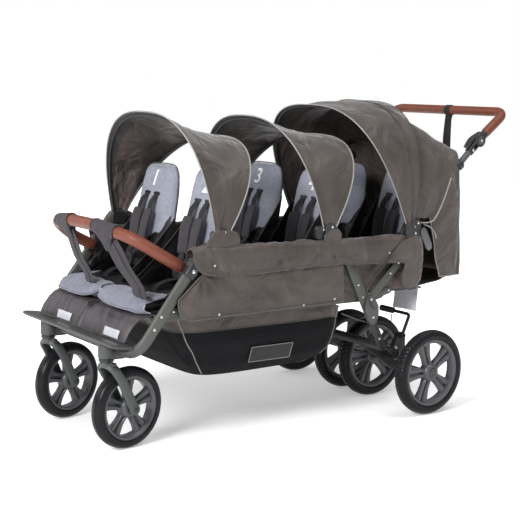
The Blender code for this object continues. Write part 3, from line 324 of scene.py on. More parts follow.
def wovenFinish(name, tone, pitch, streak=1.0, sheen=0.3):
    cloth = Finish(name, roughness=0.88, sheen=sheen, sheenRoughness=0.5)
    dark, light = tones[tone]
    across = cloth.grain(1.0, 2, 0.6, 0, cloth.stretched((700, 700, 90)))
    along = cloth.grain(1.0, 2, 0.6, 0, cloth.stretched((120, 120, 800)))
    cloud = cloth.grain(18, 3)
    threads = cloth.weave(pitch)
    share = (across * 0.42 + along * 0.38) * streak + cloud * 0.2
    cloth.feed("Base Color", cloth.mix(cloth.ramp(share, (0.3, 0.0), (0.68, 1.0)), dark, light))
    soft = cloth.bump(cloth.grain(45, 3, 0.5, 0.6), 0.3, 0.003)
    cloth.feed("Normal", cloth.bump(threads * 0.6 + across * 0.4, 0.5, 0.0005, soft))
    return cloth.material


def leatherFinish():
    hide = Finish("cognacLeather", roughness=0.42, coat=0.18, coatRoughness=0.35)
    dark, light = tones["leather"]
    cells = hide.node("TexVoronoi", {"feature": "DISTANCE_TO_EDGE"}, {"Vector": hide.place, "Scale": 520.0},
                      "Distance")
    cloud = hide.grain(22, 4, 0.6, 0.6)
    wear = hide.grain(7, 2)
    creases = hide.ramp(cells, (0.0, 0.0), (0.16, 1.0))
    hide.feed("Base Color", hide.mix(creases * 0.25 + cloud * 0.5 + wear * 0.25, dark, light))
    hide.feed("Roughness", 0.54 - creases * 0.12 + cloud * 0.08)
    large = hide.bump(cloud, 0.25, 0.002)
    hide.feed("Normal", hide.bump(creases, 0.45, 0.0006, large))
    return hide.material


def paintFinish(name, tone, metallic=0.12, roughness=0.5):
    coatOfPaint = Finish(name, metallic=metallic, roughness=roughness, coat=0.06, coatRoughness=0.35)
    dark, light = tones[tone]
    cloud = coatOfPaint.grain(9, 3)
    speck = coatOfPaint.grain(900, 2)
    coatOfPaint.feed("Base Color", coatOfPaint.mix(cloud * 0.7 + speck * 0.3, dark, light))
    coatOfPaint.feed("Roughness", cloud * 0.12 + (roughness - 0.05))
    coatOfPaint.feed("Normal", coatOfPaint.bump(speck, 0.12, 0.0003))
    return coatOfPaint.material


def plasticFinish(name, dark, light, roughness=0.45, texture=0.25):
    plastic = Finish(name, roughness=roughness)
    cloud = plastic.grain(30, 3)
    pits = plastic.grain(1400, 2)
    plastic.feed("Base Color", plastic.mix(cloud, dark, light))
    plastic.feed("Roughness", cloud * 0.14 + (roughness - 0.07))
    plastic.feed("Normal", plastic.bump(pits, texture, 0.0003))
    return plastic.material


def rubberFinish():
    rubber = Finish("tyreRubber", roughness=0.45, specular=0.13)
    x, y, z = rubber.axes()
    angle = z.step("ARCTAN2", y)
    radius = (y * y + z * z) ** 0.5
    ribs = (angle * 60 + x.step("ABSOLUTE") * 260).step("SINE")
    outside = rubber.ramp(radius * 6.9, (0.93, 0.0), (0.965, 1.0))
    cloud = rubber.grain(24, 4)
    rubber.feed("Base Color", rubber.mix(cloud, (0.007, 0.007, 0.008), (0.019, 0.019, 0.022)))
    rubber.feed("Roughness", cloud * 0.16 + 0.18)
    tread = rubber.bump(ribs * outside, 0.35, 0.0022)
    rubber.feed("Normal", rubber.bump(rubber.grain(500, 3), 0.3, 0.0005, tread))
    return rubber.material


def netFinish():
    net = Finish("basketNet", roughness=0.8, specular=0.18, alpha=0.985)
    x, y, z = net.axes()
    pitch = 2 * math.pi / 0.0032
    holes = ((x + y) * pitch).step("SINE") * ((z + y * 0.5) * pitch).step("SINE")
    folds = net.grain(12, 3, 0.5, 0.8)
    net.feed("Base Color", net.mix(net.ramp(holes, (0.35, 0.0), (0.65, 1.0)), (0.009, 0.009, 0.011),
                                   (0.002, 0.002, 0.003)))
    waves = net.bump(folds, 0.45, 0.02)
    net.feed("Normal", net.bump(holes, 0.5, 0.0008, waves))
    return net.material


def pipingFinish():
    trim = Finish("palePiping", roughness=0.45, sheen=0.2)
    dark, light = tones["piping"]
    beads = trim.grain(260, 3)
    trim.feed("Base Color", trim.mix(beads * 0.6 + trim.grain(30, 2) * 0.4, dark, light))
    trim.feed("Normal", trim.bump(beads, 0.4, 0.0006))
    return trim.material


def steelFinish():
    steel = Finish("rivetSteel", metallic=1.0, roughness=0.28)
    brushed = steel.grain(1.0, 3, 0.6, 0, steel.stretched((300, 40, 900)))
    steel.feed("Base Color", steel.mix(brushed, (0.52, 0.52, 0.52), (0.72, 0.72, 0.71)))
    steel.feed("Roughness", brushed * 0.15 + 0.2)
    return steel.material


def printFinish():
    ink = Finish("numberInk", roughness=0.6)
    patches = ink.grain(300, 3)
    ink.feed("Base Color", ink.mix(patches, (0.9, 0.91, 0.93), (0.96, 0.97, 0.98)))
    ink.feed("Normal", ink.bump(ink.weave(0.0011), 0.4, 0.0003))
    return ink.material


def tagFinish(name, dark, light, metallic):
    tag = Finish(name, roughness=0.35, metallic=metallic)
    ripples = tag.grain(40, 3, 0.5, 1.0)
    # colour follows the ripple bump, darker in the hollows: painted shade
    tag.feed("Base Color", tag.mix(ripples, dark, light))
    tag.feed("Normal", tag.bump(ripples, 0.4, 0.004))
    return tag.material


print("finishes")
taupe = nylonFinish("taupeNylon", "taupe")
# lining in the lighter tone: painted light in place of light through the cloth
paintedLightLining = nylonFinish("taupeLiningPaintedLight", "taupeLiningPaintedLight", 1.35, 0.15)
apronCloth = nylonFinish("plumNylon", "apron", 0.4, 0.1)
blackCloth = nylonFinish("blackNylon", "blackCloth", 1.0, 0.03, 0.44)
heather = wovenFinish("heatherCloth", "heather", 0.0016)
strapCloth = wovenFinish("strapPadCloth", "strapPad", 0.0014, 1.0, 0.06)
leather = leatherFinish()
satinFrame = paintFinish("satinFrame", "frame")
blackPlastic = plasticFinish("blackPlastic", (0.012, 0.012, 0.013), (0.026, 0.026, 0.028))
greyPlastic = plasticFinish("greyPlastic", (0.045, 0.048, 0.05), (0.07, 0.074, 0.076), 0.5)
rimPlastic = plasticFinish("rimPlastic", (0.062, 0.064, 0.072), (0.094, 0.096, 0.106), 0.34, 0.12)
capPlastic = plasticFinish("hubCapPlastic", (0.02, 0.021, 0.024), (0.034, 0.035, 0.039), 0.32, 0.1)
rubber = rubberFinish()
net = netFinish()
piping = pipingFinish()
steel = steelFinish()
ink = printFinish()
edgeCloth = nylonFinish("edgeNylon", "edge", 0.5, 0.3)
bindTape = wovenFinish("bindingTape", "bindTape", 0.0012, 0.6)
labelCloth = wovenFinish("labelCloth", "label", 0.001, 0.4)
thread = wovenFinish("sewingThread", "thread", 0.0008, 0.4)
satinTag = tagFinish("satinTag", (0.42, 0.42, 0.47), (0.66, 0.66, 0.7), 0.25)
careCloth = tagFinish("careCloth", (0.66, 0.64, 0.7), (0.84, 0.82, 0.88), 0.0)
webCloth = wovenFinish("webbing", "web", 0.0018, 0.5, 0.04)
forkPaint = paintFinish("forkPaint", "fork")
satinDark = paintFinish("darkPaint", "darkMetal")
clipPlastic = plasticFinish("clipPlastic", (0.11, 0.11, 0.116), (0.16, 0.16, 0.168), 0.42)
boardPlastic = plasticFinish("boardPlastic", (0.03, 0.029, 0.031), (0.052, 0.049, 0.053), 0.34, 0.3)
darkTaupe = nylonFinish("darkTaupe", "taupeDark", 0.9, 0.15)
# a darker copy of the heather for the seat flaps: painted shade
paintedShadeFlapCloth = wovenFinish("flapHeatherPaintedShade", "flapHeatherPaintedShade", 0.0016, 1.15)
palePiping = wovenFinish("flapPiping", "flapEdge", 0.0014, 0.6)


# Mesh tools

def meshFrom(name, data):
    bmesh.ops.recalc_face_normals(data, faces=data.faces)
    mesh = bpy.data.meshes.new(name)
    data.to_mesh(mesh)
    data.free()
    return mesh


def makePiece(name, data, material, body=None, sharp=40):
    mesh = meshFrom(name, data)
    for item in material if isinstance(material, (list, tuple)) else [material]:
        mesh.materials.append(item)
    mesh.shade_smooth()
    mesh.set_sharp_from_angle(angle=math.radians(sharp))
    piece = addObject(name, mesh)
    if body:
        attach(piece, body)
    return piece


def addLoft(data, rings, loop=False, index=0, caps=True):
    made = [[data.verts.new(point) for point in ring] for ring in rings]
    pairs = list(zip(made, made[1:])) + ([(made[-1], made[0])] if loop else [])
    for low, high in pairs:
        for step in range(len(low)):
            follow = (step + 1) % len(low)
            face = data.faces.new((low[step], low[follow], high[follow], high[step]))
            face.material_index = index
    if caps and not loop:
        for ring in (made[0][::-1], made[-1]):
            data.faces.new(ring).material_index = index
    return made


def spline(points, count):
    ends = [points[0] * 2 - points[1], *points, points[-1] * 2 - points[-2]]
    path = []
    spans = len(points) - 1
    for step in range(count + 1):
        place = min(step * spans / count, spans - 1e-9)
        index = int(place)
        t = place - index
        a, b, c, d = ends[index:index + 4]
        path.append(0.5 * ((2 * b) + (c - a) * t + (2 * a - 5 * b + 4 * c - d) * t ** 2
                           + (3 * b - a - 3 * c + d) * t ** 3))
    return path


def evenly(points, count):  # the same path with even steps
    lengths = [0.0]
    for a, b in zip(points, points[1:]):
        lengths.append(lengths[-1] + (b - a).length)
    path = []
    index = 0
    for step in range(count + 1):
        want = lengths[-1] * step / count
        while index < len(points) - 2 and lengths[index + 1] < want:
            index += 1
        span = lengths[index + 1] - lengths[index]
        path.append(points[index].lerp(points[index + 1], (want - lengths[index]) / span if span else 0))
    return path


def bentPath(points, radius, steps=8):  # straight runs with round corners
    path = [points[0]]
    for before, corner, after in zip(points, points[1:], points[2:]):
        one = (before - corner).normalized()
        two = (after - corner).normalized()
        half = one.angle(two) / 2
        reach = min(radius / math.tan(half), (before - corner).length * 0.49,
                    (after - corner).length * 0.49)
        bend = reach * math.tan(half)
        centre = corner + (one + two).normalized() * (bend / math.sin(half))
        first = corner + one * reach - centre
        last = corner + two * reach - centre
        path += [centre + first.slerp(last, step / steps) * bend for step in range(steps + 1)]
    path.append(points[-1])
    return path


def signedPower(value, power):
    return math.copysign(abs(value) ** power, value)


def aroundRing(steps, power=1.0):  # points of a ring, squarer as the power falls below 1
    turns = [2 * math.pi * (step + 0.5) / steps for step in range(steps)]
    return [(signedPower(math.cos(turn), power), signedPower(math.sin(turn), power)) for turn in turns]


def ovalSection(wide, thin, steps=24, power=2.0):
    return [(u * wide / 2, v * thin / 2) for u, v in aroundRing(steps, 2 / power)]


def roundSection(width, steps):
    return ovalSection(width, width, steps)


def sweepRings(path, section, wide=None):
    rings = []
    last = None
    for index, point in enumerate(path):
        tangent = (path[min(index + 1, len(path) - 1)] - path[max(index - 1, 0)]).normalized()
        if wide is None:  # carry the frame along the path
            if last is None:
                seed = zAxis if abs(tangent.z) < 0.9 else xAxis
                last = seed
            across = (last - tangent * last.dot(tangent)).normalized()
            last = across
        else:
            aim = wide(index) if callable(wide) else wide
            across = (aim - tangent * aim.dot(tangent)).normalized()
        other = tangent.cross(across)
        shape = section(index) if callable(section) else section
        rings.append([point + across * u + other * v for u, v in shape])
    return rings


def addStack(data, outline, levels, put, index=0):  # one outline at several heights and scales
    addLoft(data, [[put(u * scale, v * scale, height) for u, v in outline] for height, scale in levels],
            index=index)


def addSweep(data, path, section, wide=None, index=0):
    addLoft(data, sweepRings(path, section, wide), index=index)


def makeTube(name, path, section, material, body, wide=None):
    data = bmesh.new()
    addSweep(data, path, section, wide)
    return makePiece(name, data, material, body)


def makeCord(name, path, diameter, material, body, steps=10):
    return makeTube(name, path, roundSection(diameter, steps), material, body)


def turnedRings(profile, steps, axis="X"):
    rings = []
    for step in range(steps):
        turn = 2 * math.pi * step / steps
        c, s = math.cos(turn), math.sin(turn)
        if axis == "X":
            rings.append([Vector((h, r * c, r * s)) for r, h in profile])
        else:
            rings.append([Vector((r * c, r * s, h)) for r, h in profile])
    return rings


def mirrored(profile):  # one half of a profile, then the same half on the other side
    return [*profile, *((radius, -height) for radius, height in reversed(profile) if height)]


def addTurned(data, profile, steps, matrix=None, axis="X", index=0):
    rings = turnedRings(profile, steps, axis)
    if matrix:
        rings = [[matrix @ point for point in ring] for ring in rings]
    addLoft(data, rings, loop=True, index=index)


def gridNormals(grid):
    normals = []
    for a, row in enumerate(grid):
        line = []
        for b in range(len(row)):
            along = grid[min(a + 1, len(grid) - 1)][b] - grid[max(a - 1, 0)][b]
            across = row[min(b + 1, len(row) - 1)] - row[max(b - 1, 0)]
            normal = along.cross(across)
            line.append(normal.normalized() if normal.length > 1e-12 else zAxis)
        normals.append(line)
    return normals


# Two layers of cloth joined along the edge
def addSheet(data, grid, thick, inside, indexOut=0, indexIn=0):
    normals = gridNormals(grid)
    inner = []
    for a, row in enumerate(grid):
        line = []
        for b, point in enumerate(row):
            normal = normals[a][b]
            aim = inside(point) if callable(inside) else inside
            line.append(point + (normal if normal.dot(aim) > 0 else -normal) * thick)
        inner.append(line)
    outVerts = [[data.verts.new(p) for p in row] for row in grid]
    inVerts = [[data.verts.new(p) for p in row] for row in inner]
    rows, columns = len(grid), len(grid[0])
    for a in range(rows - 1):
        for b in range(columns - 1):
            data.faces.new((outVerts[a][b], outVerts[a + 1][b], outVerts[a + 1][b + 1],
                            outVerts[a][b + 1])).material_index = indexOut
            inner = data.faces.new((inVerts[a][b], inVerts[a][b + 1], inVerts[a + 1][b + 1],
                                    inVerts[a + 1][b]))
            inner.material_index = indexIn(a, b) if callable(indexIn) else indexIn
    edge = [(a, 0) for a in range(rows)] + [(rows - 1, b) for b in range(1, columns)]
    edge += [(a, columns - 1) for a in range(rows - 2, -1, -1)]
    edge += [(0, b) for b in range(columns - 2, 0, -1)]
    for (a, b), (c, d) in zip(edge, edge[1:] + edge[:1]):
        data.faces.new((outVerts[a][b], outVerts[c][d], inVerts[c][d],
                        inVerts[a][b])).material_index = indexOut


def makeSheet(name, grid, thick, inside, material, body=None, indexIn=None):
    data = bmesh.new()
    if indexIn is None:
        indexIn = 1 if isinstance(material, tuple) else 0
    addSheet(data, grid, thick, inside, 0, indexIn)
    return makePiece(name, data, material, body)


def gridOf(rows, columns, point):
    return [[point(a / rows, b / columns) for b in range(columns + 1)] for a in range(rows + 1)]


def gridArea(grid):
    area = 0.0
    for a in range(len(grid) - 1):
        for b in range(len(grid[0]) - 1):
            p, q, r, s = grid[a][b], grid[a + 1][b], grid[a + 1][b + 1], grid[a][b + 1]
            area += (q - p).cross(s - p).length / 2 + (q - r).cross(s - r).length / 2
    return area


def flatSize(grid):
    length = max(sum((row[b + 1] - row[b]).length for b in range(len(row) - 1)) for row in grid)
    width = max(sum((grid[a + 1][b] - grid[a][b]).length for a in range(len(grid) - 1))
                for b in range(len(grid[0])))
    return width, length


def declareSheet(piece, grid, flat=None):
    width, length = flat or flatSize(grid)
    min(gridArea(grid), width * length)


def finerGrid(grid, rowSteps, columnSteps):  # a coarse grid made smooth both ways
    rows = [spline(row, columnSteps) for row in grid]
    columns = [spline([row[b] for row in rows], rowSteps) for b in range(columnSteps + 1)]
    return [[columns[b][a] for b in range(columnSteps + 1)] for a in range(rowSteps + 1)]


def rivets(name, places, radius, sign, body="chassis", material=None):
    profile = [(0.0001, -0.001), (radius, -0.001), (radius, radius * 0.25), (radius * 0.7, radius * 0.55),
               (0.0001, radius * 0.68)]
    data = bmesh.new()
    for place in places:
        addTurned(data, profile, 14, Matrix.Translation(place) @ facing(sign))
    return makePiece(name, data, material or steel, body)


# Wheels
wheelLook = {
    "tyreSteps": 96, "tyreHalf": 0.0225, "rimShare": 0.765, "rimHalf": 0.0175, "spokes": 5,
    "hubRadius": 0.031,
    "capRadius": 0.0195, "rearRadius": 0.1445, "frontRadius": 0.1236, "frontTurns": (8.6, 14.0),
}


def tyreModel(name, radius):
    half = wheelLook["tyreHalf"]
    inner = radius * wheelLook["rimShare"]
    profile = ((radius, 0.22), (radius - 0.0012, 0.3), (radius - 0.0022, 0.33), (radius - 0.0012, 0.38),
               (radius - 0.0028, 0.62), (radius - 0.0075, 0.86), (radius - 0.014, 0.99),
               (radius - 0.023, 1),
               (inner + 0.003, 0.88), (inner, 0.8), (inner - 0.002, 0.6))
    profile = mirrored([(reach, half * share) for reach, share in profile])
    data = bmesh.new()
    addTurned(data, profile, wheelLook["tyreSteps"])
    return makePiece(name, data, rubber)


def rimModel(name, radius, turned=0.0):
    data = bmesh.new()
    outer = radius * wheelLook["rimShare"]
    half = wheelLook["rimHalf"]
    addTurned(data, mirrored([(outer + 0.0035, half - 0.001), (outer + 0.0015, half + 0.0015),
                              (outer - 0.004, half + 0.001),
                              (outer - 0.009, half - 0.004), (outer - 0.0105, 0)]), 96)
    hub = wheelLook["hubRadius"]
    addTurned(data, [(hub, -0.012), (hub, 0.01), (hub - 0.003, 0.0165), (hub - 0.009, 0.021),
                     (0.0001, 0.0215),
                     (0.0001, -0.0215), (hub - 0.009, -0.021), (hub - 0.003, -0.0165)], 40)
    for sign in (1, -1):
        cap = wheelLook["capRadius"]
        turn = facing(sign)
        addTurned(data, [(0.0001, 0.018), (cap, 0.018), (cap, 0.0205), (cap - 0.002, 0.0225),
                         (cap - 0.006, 0.0232),
                         (0.007, 0.0226), (0.0001, 0.0224)], 32, turn, index=1)
    for pair in range(wheelLook["spokes"]):
        angle = 2 * math.pi * pair / wheelLook["spokes"] + math.pi / 2 + turned
        along = Vector((0, math.cos(angle), math.sin(angle)))
        side = Vector((0, -math.sin(angle), math.cos(angle)))
        for sign in (-1, 1):
            rings = []
            for step in range(9):
                t = step / 8
                reach = hub * 0.8 + (outer - 0.006 - hub * 0.8) * t
                wide = radius * (0.085 + 0.1 * t ** 1.7)
                spread = wide / 2 + 0.0028 + 0.0008 * t
                dish = 0.0105 - 0.004 * math.sin(math.pi * t * 0.9)
                middle = along * reach + side * (spread * sign)
                ring = []
                for u, v in ((-1, -1), (1, -1), (1, 0.55), (0.55, 1), (-0.55, 1), (-1, 0.55)):
                    ring.append(middle + side * (u * wide / 2) + Vector((v * dish, 0, 0)))
                rings.append(ring)
            addLoft(data, rings)
        rings = []  # the web between a pair, in dark cap plastic: painted shade in the slot between the spokes
        for t in (0.0, 0.5, 1.0):
            reach = hub * 0.8 + (outer - 0.01 - hub * 0.8) * t
            spread = radius * (0.085 + 0.1 * t ** 1.7) * 0.8
            middle = along * reach
            rings.append([middle + side * (u * spread) + Vector((v, 0, 0))
                          for u, v in ((-1, -0.004), (1, -0.004), (1, 0.001), (-1, 0.001))])
        addLoft(data, rings, index=1)
    return makePiece(name, data, (rimPlastic, capPlastic), None, 38)


def makeWheels():
    turns = dict(zip(("front_wheel_left", "front_wheel_right"), wheelLook["frontTurns"]))
    rear, front = wheelLook["rearRadius"], wheelLook["frontRadius"]
    models = {"rear": (tyreModel("rearTyreModel", rear), rimModel("rearRimModel", rear, math.pi / 10)),
              "front": (tyreModel("frontTyreModel", front), rimModel("frontRimModel", front))}
    rows = (("rear", ("outer_left", "inner_left", "inner_right", "outer_right")),
            ("front", ("left", "right")))
    for kind, places in rows:
        for place in places:
            body = kind + "_wheel_" + place
            low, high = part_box(kind + "_tyre_" + place)
            hub = (low + high) / 2
            for model, part in zip(models[kind], ("tyre", "rim")):
                piece = addObject("%s_%s_%s_detail" % (kind, part, place), model.data)
                flip = math.pi if "right" in place and kind == "rear" else 0
                turn = math.radians(turns.get(body, 0)) + flip
                piece.matrix_world = Matrix.Translation(hub) @ Matrix.Rotation(turn, 4, "Z")
                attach(piece, body)
                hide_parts("%s_%s_%s" % (kind, part, place))
    for pair in models.values():
        for model in pair:
            bpy.data.objects.remove(model)


# Canopies and hood
canopyLook = {
    "pivotZ": 0.648, "pivotY": (-0.83, -0.419, -0.054), "half": (0.306, 0.306, 0.3155),
    "frontPower": (2.6, 2.5, 2.8), "rearPower": (2.3, 2.6, 2.7),
    "front": ((-0.926, 0.992), (-0.547, 0.987), (-0.276, 1.027)),
    "rear": ((-0.636, 0.92), (-0.239, 0.928), (-0.012, 1.0465)),
    "footFront": (0.026, 0.026, 0.045), "footRear": (0.026, 0.026, -0.004), "sag": (0.012, 0.012, -0.006),
    "thick": 0.0022, "crease": 0.0095, "pipingWidth": {"front": 0.0042, "rear": 0.005}, "rows": 84,
    "columns": 22,
}
hoodLook = {"half": 0.303, "edge": (0.176, 0.892), "hemZ": 0.457, "hemFront": 0.084, "crease": 0.0075}


def archPoint(share, half, apex, footShift, power=2.7):  # a point on a bow, from foot 0 to foot 1
    turn = math.pi * (1 - share)
    c, s = math.cos(turn), max(math.sin(turn), 0.0)
    rise = s ** (2 / power)
    return (signedPower(c, 2 / power) * half, footShift + (apex[0] - footShift) * rise,
            canopyLook["pivotZ"] + (apex[1] - canopyLook["pivotZ"]) * rise)


def bowShares(steps):  # closer together at the feet of a bow
    turns = [math.cos(math.pi * step / steps) for step in range(steps + 1)]
    return [0.5 - 0.5 * c * (0.92 + 0.08 * abs(c)) for c in turns]


def crease(u, v, seed):  # cloth folds: broad waves, soft ridges and a little fine grain
    warp = noise.noise(Vector((u * 0.7 + 3.1, v * 0.7 + 1.7, seed + 9.2)))
    broad = noise.noise(Vector((u * 0.75 + warp, v * 0.75 - warp, seed)))
    ridge = 1 - abs(noise.noise(Vector((u * 1.25 - warp, v * 1.25 + warp, seed + 5)))) * 3.0
    fine = noise.noise(Vector((u * 3.4, v * 3.4, seed + 2)))
    return broad * 1.1 + max(ridge, -0.35) * 0.42 + fine * 0.16 - 0.12


def canopyGrid(index, rows, columns):
    look = canopyLook
    pivotY = look["pivotY"][index]
    grid = []
    for share in bowShares(rows):
        front = archPoint(share, look["half"][index], look["front"][index],
                          pivotY - look["footFront"][index],
                          look["frontPower"][index])
        rear = archPoint(share, look["half"][index], look["rear"][index], pivotY + look["footRear"][index],
                         look["rearPower"][index])
        row = []
        for column in range(columns + 1):
            t = column / columns
            point = Vector(front).lerp(Vector(rear), t)
            radial = Vector((point.x * 0.6, point.y - pivotY, point.z - look["pivotZ"]))
            side = math.sin(math.pi * share)
            dip = look["sag"][index] * 4 * t * (1 - t) * side
            taut = calmEnds(t, 5) * min(1.0, radial.length / 0.1)
            fold = crease(share * 8 + t * 1.2, t * 2.0 + share * 0.8, index * 7.3) * look["crease"] * taut
            flank = abs(math.cos(math.pi * share)) ** 0.5
            pull = math.sin(share * 34 + t * 5 + index) * 0.0012 * taut * flank
            if radial.length > 0.05:
                point -= radial.normalized() * (dip - fold * 0.8 - pull)
            row.append(at(*point))
        grid.append(row)
    return grid


def makeCanopies():
    look = canopyLook
    for index in range(3):
        name = "canopy_%d" % (index + 1)
        body = "hood_%d" % (index + 1)
        grid = canopyGrid(index, look["rows"], look["columns"])
        inner = at(0, grid[0][0].y - axleY, 0.72)
        last = len(grid[0]) - 1
        piece = makeSheet(name + "_cloth", grid, look["thick"], lambda point: inner - point,
                          (taupe, paintedLightLining, edgeCloth), body,
                          lambda a, b: 2 if b / last < 0.14 or b / last > 0.9 else 1)
        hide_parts(name)
        for place, column in (("front", 1), ("rear", -2)):
            if index == 2 and place == "rear":
                continue
            inward = [row[column] for row in grid]
            middle = at(0, look["pivotY"][index], look["pivotZ"])
            path = [p + (middle - p).normalized() * 0.0062 for p in inward]
            bow = "%s_%s_bow" % (name, place)
            makeTube(bow, path[2:-2], roundSection(0.006, 8), blackPlastic, body)
        declareSheet(piece, grid)
        for place, column in (("front", 0), ("rear", last)):
            edge = evenly([row[column] for row in grid], 120)
            seam = index == 2 and place == "rear"
            width = 0.003 if seam else look["pipingWidth"][place]
            makeCord("%s_%s_piping" % (name, place), edge, width, edgeCloth if seam else piping, body, 8)
        if index == 2:  # the dark seam across the rear half of the third canopy
            across = evenly([row[16].lerp(row[17], 0.5) + (row[16] - middle).normalized() * 0.0006
                             for row in grid], 120)
            makeCord("canopy_3_seam", across, 0.0046, edgeCloth, body, 8)
        for sign in (-1, 1):
            makeCanopyFoot(name, index, sign, body)


def makeCanopyFoot(name, index, sign, body):
    side = "left" if sign > 0 else "right"
    y = canopyLook["pivotY"][index]
    z = canopyLook["pivotZ"]
    x = sign * (canopyLook["half"][index] + 0.0006)
    data = bmesh.new()
    turn = Matrix.Translation(at(x, y, z)) @ facing(sign)
    outline = ovalSection(0.04, 0.034, 28, 3.0)
    addStack(data, outline, ((0.0, 1.0), (0.0035, 1.0), (0.005, 0.93), (0.0052, 0.6)),
             lambda u, v, h: turn @ Vector((h, u, v - 0.004)))
    makePiece("%s_clip_%s" % (name, side), data, blackPlastic, body)
    rivets("%s_stud_%s" % (name, side), [at(x + sign * 0.0052, y + 0.006, z + 0.002)], 0.0042, sign, body)


def hoodGrid():
    look = hoodLook
    half = look["half"]
    footY = canopyLook["pivotY"][2] + 0.008
    footZ = canopyLook["pivotZ"] + 0.022
    edgeShape = ((0.988, 0.0, -0.055), (0.988, 0.34, 0.21), (0.986, 0.6, 0.56), (0.976, 0.78, 0.78),
                 (0.945, 0.88, 0.9),
                 (0.873, 0.94, 0.955), (0.755, 0.965, 0.975), (0.585, 0.98, 0.987), (0.36, 0.99, 0.995),
                 (0.0, 1.0, 1.0))
    hemShape = ((0.988, 0.0), (0.988, 0.25), (0.988, 0.52), (0.98, 0.78), (0.945, 0.93), (0.86, 0.965),
                (0.74, 0.98), (0.575, 0.99), (0.36, 1.0), (0.0, 1.0))
    edgeFront = look["hemFront"] - 0.054
    hemRear = look["edge"][0] + 0.028
    apex = canopyLook["rear"][2]
    grid = []
    for index, share in enumerate(bowShares(18)):
        step = min(index, 18 - index)
        sign = 1 if index > 9 else -1
        first = archPoint(share, half, (apex[0] - 0.044, apex[1] - 0.0145), footY - 0.03)
        bow = Vector((first[0], first[1], max(first[2], footZ)))
        xPart, yPart, zPart = edgeShape[step]
        edge = Vector((sign * xPart * half, edgeFront + (look["edge"][0] - edgeFront) * yPart,
                       footZ + (look["edge"][1] - footZ) * zPart))
        xPart, yPart = hemShape[step]
        hem = Vector((sign * xPart * half, look["hemFront"] + (hemRear - look["hemFront"]) * yPart,
                      look["hemZ"]))
        row = []
        for band in range(5):
            t = band / 4
            bulge = 0.022 * 4 * t * (1 - t) * math.sin(math.pi * share)
            place = bow.lerp(edge, t)
            row.append(at(place.x, place.y + bulge * 0.7, place.z + bulge))
        for band in range(1, 5):
            t = band / 4
            place = edge.lerp(hem, t)
            row.append(at(place.x, place.y + 0.01 * math.sin(math.pi * t) * yPart, place.z))
        grid.append(row)
    return grid


def makeRearHood():
    coarse = hoodGrid()
    fine = finerGrid(coarse, 108, 72)
    middle = at(0, 0.02, 0.7)
    normals = gridNormals(fine)
    grid = []
    for a, row in enumerate(fine):
        line = []
        for b, point in enumerate(row):
            s, t = a / 108, b / 72
            outward = normals[a][b] if normals[a][b].dot(point - middle) > 0 else -normals[a][b]
            down = max(0.0, (t - 0.5) * 2)
            calm = min(1.0, t * 10) * calmEnds(s, 8)
            fold = crease(s * 7, t * 3.5, 31.0) * hoodLook["crease"] * calm
            wave = math.sin(s * 26 + math.sin(s * 9) * 2) * 0.006 * down ** 1.5 * calmEnds(s, 6)
            flare = math.sin(t * 21) * 0.004 * down * max(0.0, 1 - 7 * min(s, 1 - s))
            line.append(point + outward * (fold + wave - 0.002) + Vector((0, flare, 0)))
        grid.append(line)
    piece = makeSheet("rear_hood_cloth", grid, 0.002, lambda point: middle - point, (taupe, paintedLightLining),
                      "chassis")
    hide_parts("rear_hood")
    path = [row[1] + (middle - row[1]).normalized() * 0.0065 for row in grid[4:-4]]
    hoop = makeTube("rear_hood_bow", path, roundSection(0.006, 8), blackPlastic, "chassis")
    declareSheet(piece, grid)
    hem = evenly([row[-1] for row in grid], 150)
    right, left = (evenly(grid[end][36:], 60) for end in (0, -1))
    for name, path in (("hem", hem), ("edge_right", right), ("edge_left", left)):
        makeCord("rear_hood_%s_piping" % name, path, 0.004, piping, "chassis", 8)
    for sign, side in reversed(sides):  # the piped lower edges beside the handle
        edges = (("low", ((-0.097, 0.674), (-0.06, 0.655), (-0.037, 0.65), (0.01, 0.648), (0.04, 0.66),
                          (0.075, 0.715), (0.108, 0.796))),
                 ("drop", ((-0.007, 0.642), (0.022, 0.632), (0.046, 0.612), (0.056, 0.592))))
        for word, points in edges:
            path = spline([at(sign * (0.3085 if word == "low" else 0.305), y, z) for y, z in points], 60)
            makeCord("hood_%s_piping_%s" % (word, side), path, 0.005, piping, "chassis", 8)
    for sign, side in reversed(sides):  # eyelets where the handle tubes pass through the cloth
        foot = at(sign * 0.28, -0.03, 0.654)
        rise = (at(sign * 0.28, 0.262, 0.9235) - foot).normalized()
        tree = bpy.context.evaluated_depsgraph_get()
        tree.update()
        last, start = None, foot + rise * 0.08
        for _ in range(6):
            hit, place, *_ = piece.ray_cast(start, rise)
            if not hit:
                break
            last, start = place, place + rise * 0.004
        if last:
            data = bmesh.new()
            turn = Matrix.Translation(last) @ zAxis.rotation_difference(rise).to_matrix().to_4x4()
            addTurned(data, [(0.0115, -0.01), (0.0165, -0.01), (0.0195, -0.004), (0.0195, 0.004),
                             (0.0165, 0.01),
                             (0.0115, 0.01)], 28, turn, "Z")
            makePiece("hood_eyelet_" + side, data, blackPlastic, "chassis")


# Side panels: a puffed flap over the rail and a lower panel under it
sideLook = {
    "railX": 0.298, "railZ": 0.59, "flapFront": -0.936, "flapRear": -0.07, "flapHem": 0.526,
    "flapOut": 0.02,
    "lowerFront": -0.982, "lowerRear": -0.352, "lowerHem": 0.398, "studRadius": 0.0038,
}


